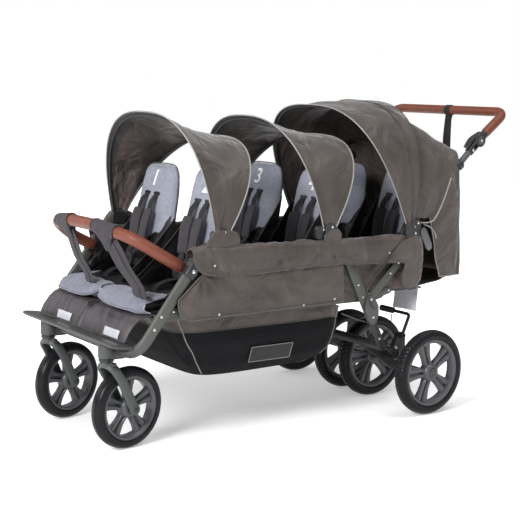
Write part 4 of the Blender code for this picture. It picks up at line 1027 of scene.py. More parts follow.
def sidePanelGrid(sign, rows, columns):
    look = sideLook
    grid = []
    for a in range(rows + 1):
        s = a / rows
        y = look["flapFront"] + (look["flapRear"] - look["flapFront"]) * s
        nose = max(0.0, 1 - (y - look["flapFront"]) / 0.06)
        hem = look["flapHem"] + 0.004 * math.sin(y * 11) + 0.062 * (1 - math.sqrt(max(0.0, 1 - nose ** 2)))
        rearEnd = max(0.0, (y + 0.12) / 0.05)
        hem -= 0.012 * rearEnd
        outX = look["railX"] + look["flapOut"] - 0.004 * nose
        inX = look["railX"] - look["flapOut"]
        top = look["railZ"] + 0.0205 - 0.006 * nose ** 2
        outline = [(outX - 0.001, hem), (outX + 0.0035, hem * 0.72 + look["railZ"] * 0.28),
                   (outX + 0.0045, hem * 0.4 + look["railZ"] * 0.6),
                   (outX + 0.001, look["railZ"] + 0.006), (outX - 0.01, top - 0.002), (look["railX"], top),
                   (inX + 0.008, top - 0.003), (inX, look["railZ"]), (inX + 0.001, 0.54), (inX, 0.48),
                   (inX, 0.432)]
        line = spline([Vector((x, 0, z)) for x, z in outline], columns)
        row = []
        for b, p in enumerate(line):
            t = b / columns
            calm = min(1.0, 9 * t, (1 - t) * 3)
            fold = crease(s * 13, t * 2.2, 3.0 + sign) * 0.0058 * calm
            pucker = 0.0022 * math.sin(y * 95 + math.sin(y * 31) * 2.5) * max(0.0, 1 - 6 * t)
            dimple = sum(-0.0035 * math.exp(-((y - c) / 0.02) ** 2 - ((p.z - 0.556) / 0.014) ** 2)
                         for c in (-0.62, -0.855, -0.4, -0.16))
            x = p.x + (fold + pucker + dimple) * (1 if t < 0.42 else -1 if t > 0.58 else 0)
            row.append(at(sign * x, y, p.z + (fold if 0.42 <= t <= 0.58 else 0)))
        grid.append(row)
    return grid


def lowerPanelGrid(sign, rows, columns):
    look = sideLook
    grid = []
    for a in range(rows + 1):
        s = a / rows
        row = []
        for b in range(columns + 1):
            t = b / columns  # from the bottom hem up under the flap
            frontLine = look["lowerFront"] + 0.1 * max(0.0, t - 0.42) / 0.58
            corner = 0.05 * (1 - math.sqrt(max(0.0, 1 - max(0.0, 1 - t / 0.34) ** 2)))
            front = frontLine + corner
            rear = look["lowerRear"] - 0.012 * t
            y = front + (rear - front) * s
            hem = look["lowerHem"] + 0.006 * math.sin(s * math.pi) - 0.003 + 0.012 * s ** 2
            z = hem + (0.548 - hem) * t
            puff = 0.007 * math.sin(math.pi * min(1.0, t * 1.1)) * min(1.0, 8 * s, 8 * (1 - s) + 0.3)
            x = look["railX"] + 0.0135 + puff
            diagonal = (z - 0.4) * 4.2 + (y + 0.98) * 1.9
            fold = crease(diagonal * 2.6, (y - z) * 2.6, 12.0 + sign) * 0.0075
            ray = math.atan2(z - 0.53, y + 0.9)
            near = math.hypot(z - 0.53, y + 0.9)
            rays = math.sin(ray * 9 + 0.8) * 0.006 * math.exp(-near / 0.13) * min(1.0, near / 0.03)
            edge = min(1.0, 12 * t + 0.15, 14 * s + 0.15, 14 * (1 - s) + 0.15)
            row.append(at(sign * (x + (fold + rays) * edge), y, z))
        grid.append(row)
    return grid


def makeSidePanels():
    for sign, side in sides:
        inside = Vector((-sign, 0, 0))
        flap = sidePanelGrid(sign, 150, 40)
        rail = lambda point: at(sign * sideLook["railX"], point.y - axleY,
                                min(point.z, sideLook["railZ"])) - point
        piece = makeSheet("side_flap_" + side, flap, 0.0022, rail, (taupe, paintedLightLining), "chassis")
        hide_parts("side_panel_" + side)
        declareSheet(piece, flap)
        panel = lowerPanelGrid(sign, 96, 36)
        lower = makeSheet("side_panel_lower_" + side, panel, 0.0022, inside, (taupe, paintedLightLining), "chassis")
        declareSheet(lower, panel)
        out = Vector((sign * 0.0012, 0, 0))
        outline = [panel[0][b] for b in range(30, 0, -1)] + [row[0] for row in panel]
        makeCord("side_panel_piping_" + side, [p + out for p in evenly(outline, 140)], 0.0038, bindTape,
                 "chassis", 8)
        hem = [row[0] for row in flap][8:]
        nose = [flap[a][0] for a in range(0, 9)]
        makeCord("side_flap_piping_" + side, [p + out * 0.5 for p in evenly(nose + hem, 160)], 0.003,
                 bindTape, "chassis", 8)
        stitch = [flap[a][2] + out * 0.9 for a in range(6, 150)]
        makeStitches("side_flap_stitches_" + side, stitch, 0.0044, "chassis")
        stitch = [panel[a][2] + out * 0.6 for a in range(6, 94)]
        makeStitches("side_panel_stitches_" + side, stitch, 0.0044, "chassis")
        studs = [surfacePoint(flap, sign, y, z) for y, z in ((-0.865, 0.556), (-0.17, 0.556))]
        lowStuds = ((-0.84, 0.408), (-0.52, 0.41), (-0.395, 0.42))
        studs += [surfacePoint(panel, sign, y, z) for y, z in lowStuds]
        rivets("side_studs_" + side, [p + out for p in studs], sideLook["studRadius"], sign)
        dark = [surfacePoint(flap, sign, y, z) + out for y, z in ((-0.622, 0.553), (-0.405, 0.556))]
        rivets("side_dark_studs_" + side, dark, sideLook["studRadius"], sign, "chassis", capPlastic)
        for name, y in (("front", -0.694), ("rear", -0.684)):
            seam = [surfacePoint(panel, sign, y, 0.405 + 0.078 * k / 20) + out * 0.4 for k in range(21)]
            makeCord("side_pocket_seam_%s_%s" % (name, side), seam, 0.0016, bindTape, "chassis", 6)


def surfacePoint(grid, sign, y, z):  # the place on a side cloth seen at y and z
    wanted = at(0, y, z)
    best = min((point for row in grid for point in row if point.x * sign > 0.3),
               key=lambda p: (p.y - wanted.y) ** 2 + (p.z - wanted.z) ** 2)
    return Vector((best.x, wanted.y, wanted.z))


def stitchRun(data, path, length, width):
    points = evenly(path, max(2, int(sum((b - a).length for a, b in zip(path, path[1:])) / length)))
    for a, b in zip(points, points[1:]):
        along = b - a
        if along.length < 1e-6:
            continue
        turn = Matrix.Translation((a + b) / 2) @ xAxis.rotation_difference(along).to_matrix().to_4x4()
        addStitch(data, width / 2, along.length * 0.36, turn)


def makeStitches(name, path, length, body, width=0.0011):
    data = bmesh.new()
    stitchRun(data, path, length, width)
    return makePiece(name, data, thread, body)


def addStitch(data, radius, half, matrix):
    ring = [(math.cos(math.pi * k / 3) * radius, math.sin(math.pi * k / 3) * radius) for k in range(6)]
    addStack(data, ring, ((-half, 0.4), (-half * 0.6, 1), (half * 0.6, 1), (half, 0.4)),
             lambda u, v, h: matrix @ Vector((h, u, v)))


# Basket and front apron
basketLook = {
    "share": (0.0, 0.18, 0.55, 1.0), "front": (-0.845, -0.88, -0.935, -0.985),
    "rear": (-0.332, -0.308, -0.298, -0.29),
    "half": (0.218, 0.245, 0.27, 0.278), "bottom": 0.192, "top": 0.3925, "rearTop": 0.374, "band": 0.8,
    "square": 0.26, "steps": 160, "levels": 26, "labelMiddle": -0.6, "labelHalf": 0.08,
    "labelShare": (0.2, 0.45),
    "seams": {"front_left": -0.73, "front_right": -2.41, "rear_left": 0.73, "rear_right": 2.41},
}


def basketLevel(key, share):
    shares = basketLook["share"]
    values = [Vector((s, v, 0)) for s, v in zip(shares, basketLook[key])]
    for low, high in zip(values, values[1:]):
        if share <= high.x:
            t = (share - low.x) / (high.x - low.x)
            return low.y + (high.y - low.y) * t
    return values[-1].y


def makeBasket():
    look = basketLook
    steps, levels = look["steps"], look["levels"]
    rings = []
    for level in range(levels + 1):
        share = (level / levels) ** 1.15
        front, rear, half = (basketLevel(key, share) for key in ("front", "rear", "half"))
        ring = []
        for step in range(steps):
            turn = 2 * math.pi * (step + 0.5) / steps
            c, s = math.cos(turn), math.sin(turn)
            u, v = signedPower(c, look["square"]), signedPower(s, look["square"])
            dip = clamp((v - 0.78) / 0.2)
            rise = 0.02 * max(0.0, v) ** 2 * (1 - share)
            top = look["top"] + (look["rearTop"] - look["top"]) * dip
            sag = 0.01 * (1 - share) ** 2 * (1 - 0.5 * abs(u))
            corner = 0.005 * (1 - share) * (abs(u) ** 6 + abs(v) ** 6)
            z = look["bottom"] + rise + (top - look["bottom"]) * share - sag * 0.2 + corner
            loose = math.sin(math.pi * min(1.0, share * 1.02)) ** 0.7
            wall = crease(turn * 2.2, share * 2.5, 44.0) * 0.006 * loose
            grow = 1 + (wall - 0.002) / half
            ring.append(at(u * half * grow, (front + rear) / 2 + v * (rear - front) / 2 * grow, z))
        rings.append(ring)
    data = bmesh.new()
    outer = [[data.verts.new(p) for p in ring] for ring in rings]
    inner = []
    for ring in rings:
        middle = sum(ring, Vector()) / steps
        inner.append([data.verts.new(p + (middle - p).normalized() * 0.002 + Vector((0, 0, 0.001)))
                      for p in ring])
    for level in range(levels):
        index = 1 if (level + 0.5) / levels > look["band"] else 0
        for step in range(steps):
            follow = (step + 1) % steps
            for shell in (outer, inner):
                data.faces.new((shell[level][step], shell[level][follow], shell[level + 1][follow],
                                shell[level + 1][step])).material_index = index
    for step in range(steps):
        follow = (step + 1) % steps
        data.faces.new((outer[-1][step], outer[-1][follow], inner[-1][follow],
                        inner[-1][step])).material_index = 1
    for shell in (outer, inner):  # floor of the basket in shrinking rings
        last = shell[0]
        middle = sum((v.co for v in last), Vector()) / steps
        for share in (0.8, 0.55, 0.25):
            ring = []
            for vert in shell[0]:
                point = middle + (vert.co - middle) * share
                point.z += crease(point.x * 9, point.y * 7, 51.0) * 0.003
                ring.append(data.verts.new(point))
            for step in range(steps):
                follow = (step + 1) % steps
                data.faces.new((last[step], last[follow], ring[follow], ring[step]))
            last = ring
        data.faces.new(last)
    piece = makePiece("basket_net", data, (net, taupe), "chassis")
    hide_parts("basket")
    bandLevel = int(look["band"] * levels)
    for name, level, width in (("band", bandLevel + 1, 0.003), ("top", levels, 0.0036)):
        path = rings[level] + rings[level][:2]
        middle = sum(rings[level], Vector()) / steps
        path = [p + (p - middle).normalized() * 0.001 for p in evenly(path, 240)]
        makeCord("basket_%s_piping" % name, path, width, bindTape, "chassis", 8)
    for name, angle in look["seams"].items():
        step = int((angle % (2 * math.pi)) / (2 * math.pi) * steps)
        path = [ring[step] + (ring[step] - at(0, -0.65, ring[step].z)).normalized() * 0.0012
                for ring in rings[1:]]
        makeCord("basket_seam_" + name, evenly(path, 60), 0.0034, piping, "chassis", 8)
    low, high = look["labelShare"]
    rear = look["labelMiddle"] - look["labelHalf"]
    columns = []
    for a in range(9):
        share = low + (high - low) * a / 8
        z = look["bottom"] + (look["top"] - look["bottom"]) * share
        half = basketLevel("half", share) + 0.0045
        columns.append([at(half, rear + look["labelHalf"] * b / 8, z) for b in range(17)])
    makeSheet("basket_blank_label", columns, 0.0012, -xAxis, labelCloth, "chassis")
    border = [columns[0][b] for b in range(17)] + [columns[a][16] for a in range(1, 9)]
    border += [columns[8][b] for b in range(15, -1, -1)] + [columns[a][0] for a in range(7, -1, -1)]
    makeCord("basket_label_border", [p + Vector((0.0006, 0, 0)) for p in evenly(border, 90)], 0.0022,
             piping, "chassis", 6)


apronLook = {
    "half": 0.268, "swell": 0.01, "labels": (-0.36, 0.74), "labelHalf": 0.155,
    # hem to fold
    "profile": ((-1.137, 0.344), (-1.124, 0.368), (-1.105, 0.392), (-1.084, 0.4095), (-1.036, 0.4172)),
}


def apronPoint(across, t):
    look = apronLook
    profile = inPlane(*look["profile"])
    place = min(t * 4, 3.9999)
    index = int(place)
    base = profile[index].lerp(profile[index + 1], place - index)
    halves = abs(math.sin(math.pi * across))
    swell = look["swell"] * (0.15 + 0.85 * halves ** 0.6) * math.sin(math.pi * min(1.0, t * 1.08)) ** 0.7
    seam = 0.006 * math.exp(-(across / 0.018) ** 2)
    gather = math.sin(across * 44 + math.sin(across * 15) * 2) * 0.001
    gather *= (1 - t) ** 2 * (0.3 + 0.7 * halves)
    ends = 0.006 * max(0.0, (abs(across) - 0.93) / 0.07) ** 2
    loose = halves ** 0.5 * math.sin(math.pi * t) ** 0.5
    fold = crease(across * 4.5, t * 1.8, 61.0) * 0.0068 * loose
    lift = swell - seam + gather + fold - ends
    return at(across * look["half"], base.y - lift, base.z + lift * 0.45)


def makeApron():
    look = apronLook
    grid = gridOf(120, 30, lambda a, b: apronPoint(2 * a - 1, b))
    piece = makeSheet("front_apron", grid, 0.0022, Vector((0, 1, -0.4)), (apronCloth, paintedLightLining), "chassis")
    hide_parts("front_panel")
    declareSheet(piece, grid)
    makeCord("apron_hem_piping", [row[0] + Vector((0, -0.0012, 0)) for row in grid], 0.0034, edgeCloth,
             "chassis", 8)
    for sign, side in reversed(sides):
        edge = [p + Vector((0, -0.0014, 0.0008)) for p in grid[-1 if sign > 0 else 0]]
        makeCord("apron_edge_" + side, edge, 0.0032, edgeCloth, "chassis", 8)
    for column, side in ((60, "middle"), (57, "seam_right"), (63, "seam_left")):
        path = [p + Vector((0, -0.0012, 0.0008)) for p in grid[column][1:24]]
        makeStitches("apron_stitches_" + side, path, 0.004, "chassis")
    for index, middle in enumerate(look["labels"]):
        patch = gridOf(16, 8, lambda a, b: Vector((0, -0.0026, 0.0012))
                       + apronPoint(middle + look["labelHalf"] * (2 * a - 1), 0.03 + 0.224 * b))
        makeSheet("apron_blank_label_%d" % (index + 1), patch, 0.001, Vector((0, 1, -0.4)), satinTag,
                  "chassis")
    loop = [apronPoint(across, share) + Vector((0, -out, rise)) for across, share, out, rise in (
        (0.0, 0.6, 0.002, 0), (0.03, 0.66, 0.007, 0.001), (0.035, 0.78, 0.009, 0.002),
        (0.0, 0.86, 0.008, 0.002),
        (-0.035, 0.78, 0.009, 0.002), (-0.03, 0.66, 0.007, 0.001), (0.0, 0.595, 0.0035, 0))]
    makeTube("apron_loop", spline(loop, 36), ovalSection(0.009, 0.0016, 12, 4), edgeCloth, "chassis",
             Vector((0, 1, -0.5)))


# Padded seats, swollen by a short cloth simulation
padLook = {"voxel": 0.0052, "pressure": 4.0, "frames": 20, "backCap": 0.002, "cushionCap": 0.0035}


def puffed(name, data, cap):
    scene = bpy.context.scene
    form = addObject(name, meshFrom(name, data))
    remesh = form.modifiers.new("even", "REMESH")
    remesh.mode = "VOXEL"
    remesh.voxel_size = padLook["voxel"]
    form.data = evaluated(form)
    form.modifiers.clear()
    air = form.modifiers.new("air", "CLOTH")
    air.settings.use_pressure = True
    air.settings.uniform_pressure_force = padLook["pressure"]
    air.settings.effector_weights.gravity = 0
    air.settings.shrink_min = -0.03
    air.point_cache.frame_end = padLook["frames"]
    for step in range(1, padLook["frames"] + 1):
        scene.frame_set(step)
    blown = evaluated(form)
    form.modifiers.clear()
    for vert, home in zip(blown.vertices, form.data.vertices):
        move = vert.co - home.co
        if move.length > cap:
            vert.co = home.co + move * (cap / move.length)
    form.data = blown
    scene.frame_set(1)
    finer = form.modifiers.new("finer", "SUBSURF")
    finer.levels = 1
    form.data = evaluated(form)
    form.modifiers.clear()
    return form


seatLook = {
    "topY": (-0.752, -0.334, 0.05), "lean": 8.0, "spacing": 0.3, "drop": 0.028, "middleZ": 0.6255,
    "halfWide": 0.1135, "halfTall": 0.1985, "halfThick": 0.0125, "crown": 0.0045, "taper": 0.07,
    "shift": -0.02,
    "numberHigh": 0.147, "slotHigh": 0.099, "slotGap": 0.029, "padTop": 0.046, "padBottom": -0.07,
    "cushionHalf": 0.2555, "cushionLow": 0.4234, "cushionHigh": 0.456,
    "cushionFront": (-1.081, -0.637, -0.222),
    "cushionRear": (-0.836, -0.418, -0.034), "flapHalf": 0.131, "seatMiddle": 0.15,
    "webWide": 0.026, "lapWide": 0.024, "padWide": 0.046, "padThick": 0.0125, "buckleSize": (0.054, 0.046),
    "flapShape": ((-0.0065, 0.4235), (-0.009, 0.429), (-0.004, 0.44), (0.016, 0.455), (0.045, 0.464),
                  (0.08, 0.4675),
                  (0.108, 0.467)),
    "coverHalf": 0.104, "coverLow": -0.192, "buckle": (-0.124, 0.076), "wingOut": 0.1175, "wingIn": 0.03,
}


def backPlace(number):
    look = seatLook
    lean = math.radians(look["lean"])
    side = -1 if number % 2 else 1
    place = at(side * look["spacing"] / 2, look["topY"][(number - 1) // 2] - look["drop"], look["middleZ"])
    turn = Matrix(((1, 0, 0), (0, math.sin(lean), -math.cos(lean)),
                   (0, math.cos(lean), math.sin(lean)))).to_4x4()
    return Matrix.Translation(place) @ turn


def backPower(v):
    return 5.4 if v > 0 else 6.5


def backRing(scale, out, steps=96):
    look = seatLook
    ring = []
    for step in range(steps):
        turn = 2 * math.pi * (step + 0.5) / steps
        c, s = math.cos(turn), math.sin(turn)
        power = backPower(s)
        v = signedPower(s, 2 / power) * look["halfTall"] * scale
        half = look["halfWide"] * (1 - look["taper"] * max(0.0, v / look["halfTall"]))
        ring.append(Vector((signedPower(c, 2 / power) * half * scale, v, out)))
    return ring


def backShare(point):  # 1 on the edge of a seat back, less inside it
    look = seatLook
    power = backPower(point.y)
    half = look["halfWide"] * (1 - look["taper"] * max(0.0, point.y / look["halfTall"]))
    return ((abs(point.x) / half) ** power + (abs(point.y) / look["halfTall"]) ** power) ** (1 / power)


def instances(name, model, numbers):  # one model on every seat back
    pieces = []
    for number in numbers:
        piece = addObject("%s_%d" % (name, number), model.data)
        piece.matrix_world = backPlace(number)
        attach(piece, "backrest_%d" % number)
        pieces.append(piece)
    bpy.data.objects.remove(model)
    return pieces


def webRings(path, width, thick, wide=None):
    return sweepRings(path, ovalSection(width, thick, 12, 5), wide or xAxis)


def makeBacks():
    look = seatLook
    layers = ((0.3, -1.0), (0.8, -0.97), (0.955, -0.72), (1.0, -0.15), (1.0, 0.3), (0.965, 0.78),
              (0.84, 1.0), (0.5, 1.0), (0.12, 1.0))
    data = bmesh.new()
    addLoft(data, [backRing(scale, height * look["halfThick"]
                            + (look["crown"] * (1 - scale ** 2) if height > 0 else 0))
                   for scale, height in layers])
    form = puffed("seatBackModel", data, padLook["backCap"])
    mesh = form.data
    for finish in (heather, edgeCloth, blackCloth):
        mesh.materials.append(finish)
    for vert in mesh.vertices:  # tufts above the slots and a soft gather along the edge
        point = vert.co
        if point.z > 0:
            share = backShare(point)
            edge = math.exp(-((share - 0.93) / 0.035) ** 2)
            turn = math.atan2(point.y, point.x)
            vert.co.z -= 0.0014 * edge * (0.6 + 0.4 * math.sin(turn * 46 + math.sin(turn * 17) * 2))
            for sign in (-1, 1):
                near = math.hypot((point.x - look["shift"] - sign * look["slotGap"]) / 0.022,
                                  (point.y - look["slotHigh"]) / 0.01)
                vert.co.z -= 0.0035 * math.exp(-near ** 2)
            vert.co.z += crease(point.x * 26, point.y * 20, 71.0) * 0.0008
    for face in mesh.polygons:
        share = backShare(face.center)
        face.material_index = 0 if face.center.z > -0.0035 else 1 if share > 0.93 else 2
    mesh.shade_smooth()
    tree = BVHTree.FromPolygons([v.co for v in mesh.vertices], [list(p.vertices) for p in mesh.polygons])

    def face(u, v, lift=0.0):
        hit = tree.ray_cast(Vector((u, v, 0.08)), -zAxis)[0]
        return Vector((u, v, (hit.z if hit else 0.0) + lift))

    numbers = range(1, 7)
    data = bmesh.new()
    rim = backRing(1.003, 0.001, 160)
    addSweep(data, rim + rim[:2], roundSection(0.0042, 8))
    instances("seat_back_piping", makePiece("backPiping", data, edgeCloth), numbers)
    data = bmesh.new()
    path = [face(p.x, p.y, 0.0004) for p in backRing(0.93, 0, 160)]
    stitchRun(data, path + path[:1], 0.0044, 0.001)
    instances("seat_back_stitches", makePiece("backStitches", data, thread), numbers)
    data = bmesh.new()
    for sign in (-1, 1):  # the two slots, each with a bound rim
        middle = look["shift"] + sign * look["slotGap"]
        rim = [face(middle + u, look["slotHigh"] + v, 0.001) for u, v in ovalSection(0.036, 0.008, 28, 3)]
        addSweep(data, rim + rim[:2], roundSection(0.0022, 6))
        fill = [data.verts.new(p - Vector((0, 0, 0.0006))) for p in rim]
        data.faces.new(fill)
    instances("seat_back_slots", makePiece("backSlots", data, blackCloth), numbers)
    makeBackHarness(face, numbers)
    makeBackCover(face, numbers)
    for number, piece in zip(numbers, instances("seat_back_pad", form, numbers)):
        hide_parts("seat_back_%d" % number)
        makeNumeral(number, face)


def makeNumeral(number, face):
    look = seatLook
    curve = bpy.data.curves.new("numeral", "FONT")
    curve.body = str(number)
    curve.size = 0.074
    curve.shear = 0.22
    curve.offset = 0.001
    curve.align_x = "CENTER"
    curve.align_y = "CENTER"
    text = addObject("numeral", curve)
    mesh = evaluated(text)
    bpy.data.objects.remove(text)
    data = bmesh.new()
    data.from_mesh(mesh)
    bmesh.ops.triangulate(data, faces=data.faces)
    bmesh.ops.subdivide_edges(data, edges=data.edges, cuts=4, use_grid_fill=True)
    made = bmesh.ops.extrude_face_region(data, geom=list(data.faces))["geom"]
    top = {item for item in made if isinstance(item, bmesh.types.BMVert)}
    for vert in data.verts:
        lift = 0.0017 if vert in top else -0.0006
        vert.co = face(vert.co.x + look["shift"] + 0.004, vert.co.y + look["numberHigh"], lift)
    piece = makePiece("seat_number_%d" % number, data, ink, None, 30)
    piece.matrix_world = backPlace(number)
    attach(piece, "backrest_%d" % number)


def makeBackHarness(face, numbers):
    look = seatLook
    webs, pads, fittings = bmesh.new(), bmesh.new(), bmesh.new()
    for sign in (-1, 1):
        u = look["shift"] + sign * look["slotGap"]
        start = face(u, look["slotHigh"], -0.002)
        path = spline([start, start + Vector((0, -0.01, 0.01)), Vector((u + sign * 0.001, 0.066, 0.036)),
                       Vector((u + sign * 0.002, look["padTop"] - 0.004, 0.04))], 20)
        addLoft(webs, webRings(path, look["webWide"], 0.0018))
        top = Vector((u + sign * 0.002, look["padTop"], 0.04))
        bottom = Vector((u * 0.8 + sign * 0.002, look["padBottom"], 0.052))
        path = spline([top, top.lerp(bottom, 0.35) + Vector((sign * 0.0015, 0, 0.004)),
                       top.lerp(bottom, 0.7) + Vector((0, 0, 0.003)), bottom], 26)

        def section(index):
            t = index / 26
            ends = (1 - abs(2 * t - 1) ** 9) ** 0.45 * 0.88 + 0.12
            return ovalSection(look["padWide"] * (0.86 + 0.14 * ends), look["padThick"] * ends, 24, 3.0)

        addSweep(pads, path, section, Vector((1, 0, 0.12 * sign)))
        for edge in (-1, 1):
            rim = [p + Vector((edge * 0.0215 * (0.9 + 0.1 * math.sin(math.pi * k / 26)), 0, 0.0012))
                   for k, p in enumerate(path)][1:-1]
            addSweep(pads, rim, roundSection(0.003, 6), index=1)
        buckle = Vector((look["shift"] * 0.4, *look["buckle"]))
        path = spline([bottom - Vector((0, -0.012, 0.0)), bottom + Vector((0, -0.01, 0.004)),
                       buckle + Vector((sign * 0.014, 0.026, -0.002)),
                       buckle + Vector((sign * 0.013, 0.014, 0))], 14)
        addLoft(webs, webRings(path, look["lapWide"], 0.0018))
        side = Vector((sign * 0.098, -0.168, 0.014))
        path = spline([buckle + Vector((sign * 0.02, -0.004, 0)),
                       buckle + Vector((sign * 0.048, -0.01, -0.016)),
                       Vector((sign * 0.084, -0.16, 0.034)), side], 18)
        addLoft(webs, webRings(path, look["lapWide"], 0.0018, Vector((0, 1, 0.1))))
    middle = Vector((look["shift"] * 0.4, look["buckle"][0], look["buckle"][1] + 0.002))
    outline = ovalSection(*look["buckleSize"], 36, 3.2)
    put = lambda u, v, h: middle + Vector((u, v, h))
    levels = ((-0.0085, 0.8), (-0.008, 0.93), (-0.004, 1.0), (0.003, 1.0), (0.0065, 0.94), (0.008, 0.8))
    addStack(fittings, outline, levels, put)
    addStack(fittings, roundSection(0.02, 24), ((0.007, 1.0), (0.0105, 1.0), (0.0115, 0.8)), put)
    instances("harness_webbing", makePiece("harnessWebs", webs, webCloth), numbers)
    instances("harness_pads", makePiece("harnessPads", pads, (strapCloth, edgeCloth)), numbers)
    instances("harness_buckle", makePiece("harnessBuckle", fittings, blackPlastic), numbers)


def makeBackCover(face, numbers):
    look = seatLook
    low = look["coverLow"]
    grid = []
    for a in range(61):  # black lower cover, its top edge a shallow point
        u = look["coverHalf"] * (a / 30 - 1)
        tip = 0.03 * max(0.0, 1 - abs(u + 0.015) / 0.05)
        top = -0.026 - tip + 0.06 * max(0.0, (abs(u) - 0.062) / 0.042) ** 1.3
        line = []
        for b in range(41):
            v = low + (top - low) * b / 40
            calm = min(1.0, b / 4, (40 - b) / 5 + 0.1, a / 4 + 0.1, (60 - a) / 4 + 0.1)
            ruck = crease(u * 30 + v * 8, v * 24 - u * 12, 81.0) * 0.006 * calm
            line.append(face(u, v, 0.003 + 0.003 * math.sin(math.pi * b / 40) + max(ruck, -0.002)))
        grid.append(line)
    model = makeSheet("backCover", grid, 0.0012, -zAxis, blackCloth)
    for number, piece in zip(numbers, instances("seat_lower_cover", model, numbers)):
        declareSheet(piece, grid)
    data = bmesh.new()
    addSweep(data, [row[-1] + Vector((0, 0.0002, 0.0002)) for row in grid], roundSection(0.003, 8))
    instances("seat_cover_piping", makePiece("coverPiping", data, bindTape), numbers)


def cushionTop(u, v):  # height over the seat floor, from the front edge v 0 to the rear
    valley = math.exp(-(u / 0.02) ** 2)
    seat = abs(abs(u) - 0.135) / 0.125
    crown = 0.0045 * (1 - min(1.0, seat) ** 2)
    droop = 0.016 * max(0.0, 1 - v / 0.07) ** 2
    return crown - 0.011 * valley - droop


def makeCushions():
    look = seatLook
    half = look["cushionHalf"]
    depth = look["cushionRear"][0] - look["cushionFront"][0]
    low, high = look["cushionLow"], look["cushionHigh"]
    thick = high - low
    layers = ((0.3, 0.0), (0.9, 0.0), (0.985, 0.12), (1.0, 0.45), (0.985, 0.8), (0.93, 0.97), (0.8, 1.0),
              (0.6, 1.0), (0.35, 1.0), (0.12, 1.0))
    rings = []
    for scale, height in layers:
        ring = []
        for u, v in ovalSection(2 * half, depth, 160, 9.0):
            x, y = u * scale, v * (1 - (1 - scale) * half / (depth / 2) * 0.5) if scale > 0.9 else v * scale
            z = low + thick * height
            if height > 0.5:
                z += cushionTop(x, y + depth / 2) * min(1.0, (height - 0.5) * 2)
            ring.append(Vector((x, y, z)))
        rings.append(ring)
    data = bmesh.new()
    addLoft(data, rings)
    form = puffed("cushionModel", data, padLook["cushionCap"])
    for vert in form.data.vertices:
        point = vert.co
        if point.z > low + thick * 0.55:
            clear = clamp((point.y + depth / 2 - 0.105) / 0.03)
            ruck = crease(point.x * 20 + point.y * 9, point.y * 16 - point.x * 5, 91.0) * 0.0062 * clear
            ruck -= 0.003 * (1 - clear)
            far = max(0.0, (point.y + depth / 2 - 0.14) / 0.09)
            pull = math.sin(point.x * 210 + math.sin(point.y * 40) * 3) * 0.0016 * far
            seams = (0.0, -look["seatMiddle"], look["seatMiddle"])
            lines = sum(math.exp(-((point.x - seam) / 0.0035) ** 2) for seam in seams) * 0.003
            vert.co.z += ruck + pull - lines
        vert.co.z = min(max(vert.co.z, 0.423), 0.4655)
        vert.co.x = min(max(vert.co.x, -0.2595), 0.2595)
    form.data.materials.append(blackCloth)
    form.data.shade_smooth()
    for row in range(3):
        piece = addObject("seat_cushion_pad_row_%d" % (row + 1), form.data.copy())
        front, rear = look["cushionFront"][row], look["cushionRear"][row]
        for vert in piece.data.vertices:
            vert.co.y *= (rear - front) / depth
        piece.matrix_world = Matrix.Translation(at(0, (front + rear) / 2, 0))
        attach(piece, "chassis")
        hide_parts("seat_cushion_row_%d" % (row + 1))
        for sign in (-1, 1):
            number = row * 2 + (1 if sign < 0 else 2)
            makeFlap(number, sign, front)
            makeCrotchStrap(number, sign, front)
            for edge in (-1, 1):
                makeWing(number, sign, edge, row, front)
    bpy.data.objects.remove(form)


def makeFlap(number, sign, front):  # the heather front flap of a seat
    half = seatLook["flapHalf"]
    shape = inPlane(*seatLook["flapShape"])
    grid = []
    for a in range(81):
        across = -1 + a / 40
        line = []
        for b, base in enumerate(spline(shape, 36)):
            t = b / 36
            scallop = abs(across) ** 2.6
            corner = 0.03 * max(0.0, (abs(across) - 0.8) / 0.2) ** 2 * (1 - t)
            y = base.y + (0.014 * scallop + corner) * (1 - t) ** 1.2
            side = 1 - 1.15 * min(1.0, max(0.0, across * sign) * 1.3)
            z = base.z + 0.02 * scallop * side * (1 - t) ** 1.5 - 0.004 * scallop * t
            outward = max(0.0, across * sign)
            if base.y > 0.016:
                y = 0.016 + (y - 0.016) * (0.62 + 0.95 * outward ** 3)
            ruck = crease(across * 3.2 + number, t * 2.4, 95.0) * 0.0034 * min(1.0, 8 * t)
            line.append(at(sign * 0.131 + across * half * (1 - 0.08 * t), front + y, z + ruck))
        grid.append(line)
    piece = makeSheet("seat_flap_%d" % number, grid, 0.0042, Vector((0, 0.3, -1)), paintedShadeFlapCloth, "chassis")
    declareSheet(piece, grid)
    rim = [grid[0][b] for b in range(15, 0, -1)] + [row[0] for row in grid]
    rim += [grid[-1][b] for b in range(1, 16)]
    rim = [p + Vector((0, -0.0006, -0.0012)) for p in evenly(rim, 110)]
    makeCord("seat_flap_piping_%d" % number, rim, 0.0044, palePiping, "chassis", 8)
    path = [row[5] + Vector((0, 0, 0.0004)) for row in grid[3:-3]]
    makeStitches("seat_flap_stitches_%d" % number, path, 0.0044, "chassis", 0.001)


def makeCrotchStrap(number, sign, front):
    place = backPlace(number)
    buckle = place @ Vector((seatLook["shift"] * 0.4, -0.146, 0.078))
    foot = at(sign * seatLook["seatMiddle"] - 0.012, front + 0.125, 0.464)
    path = spline([buckle, buckle.lerp(foot, 0.35) + Vector((0, -0.01, 0.006)),
                   buckle.lerp(foot, 0.8) + Vector((0, -0.008, 0.006)), foot,
                   foot - Vector((0, 0.008, 0.006))], 20)
    strap = makeTube("crotch_strap_%d" % number, path, ovalSection(0.028, 0.003, 14, 5), webCloth, None,
                     xAxis)
    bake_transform(strap)


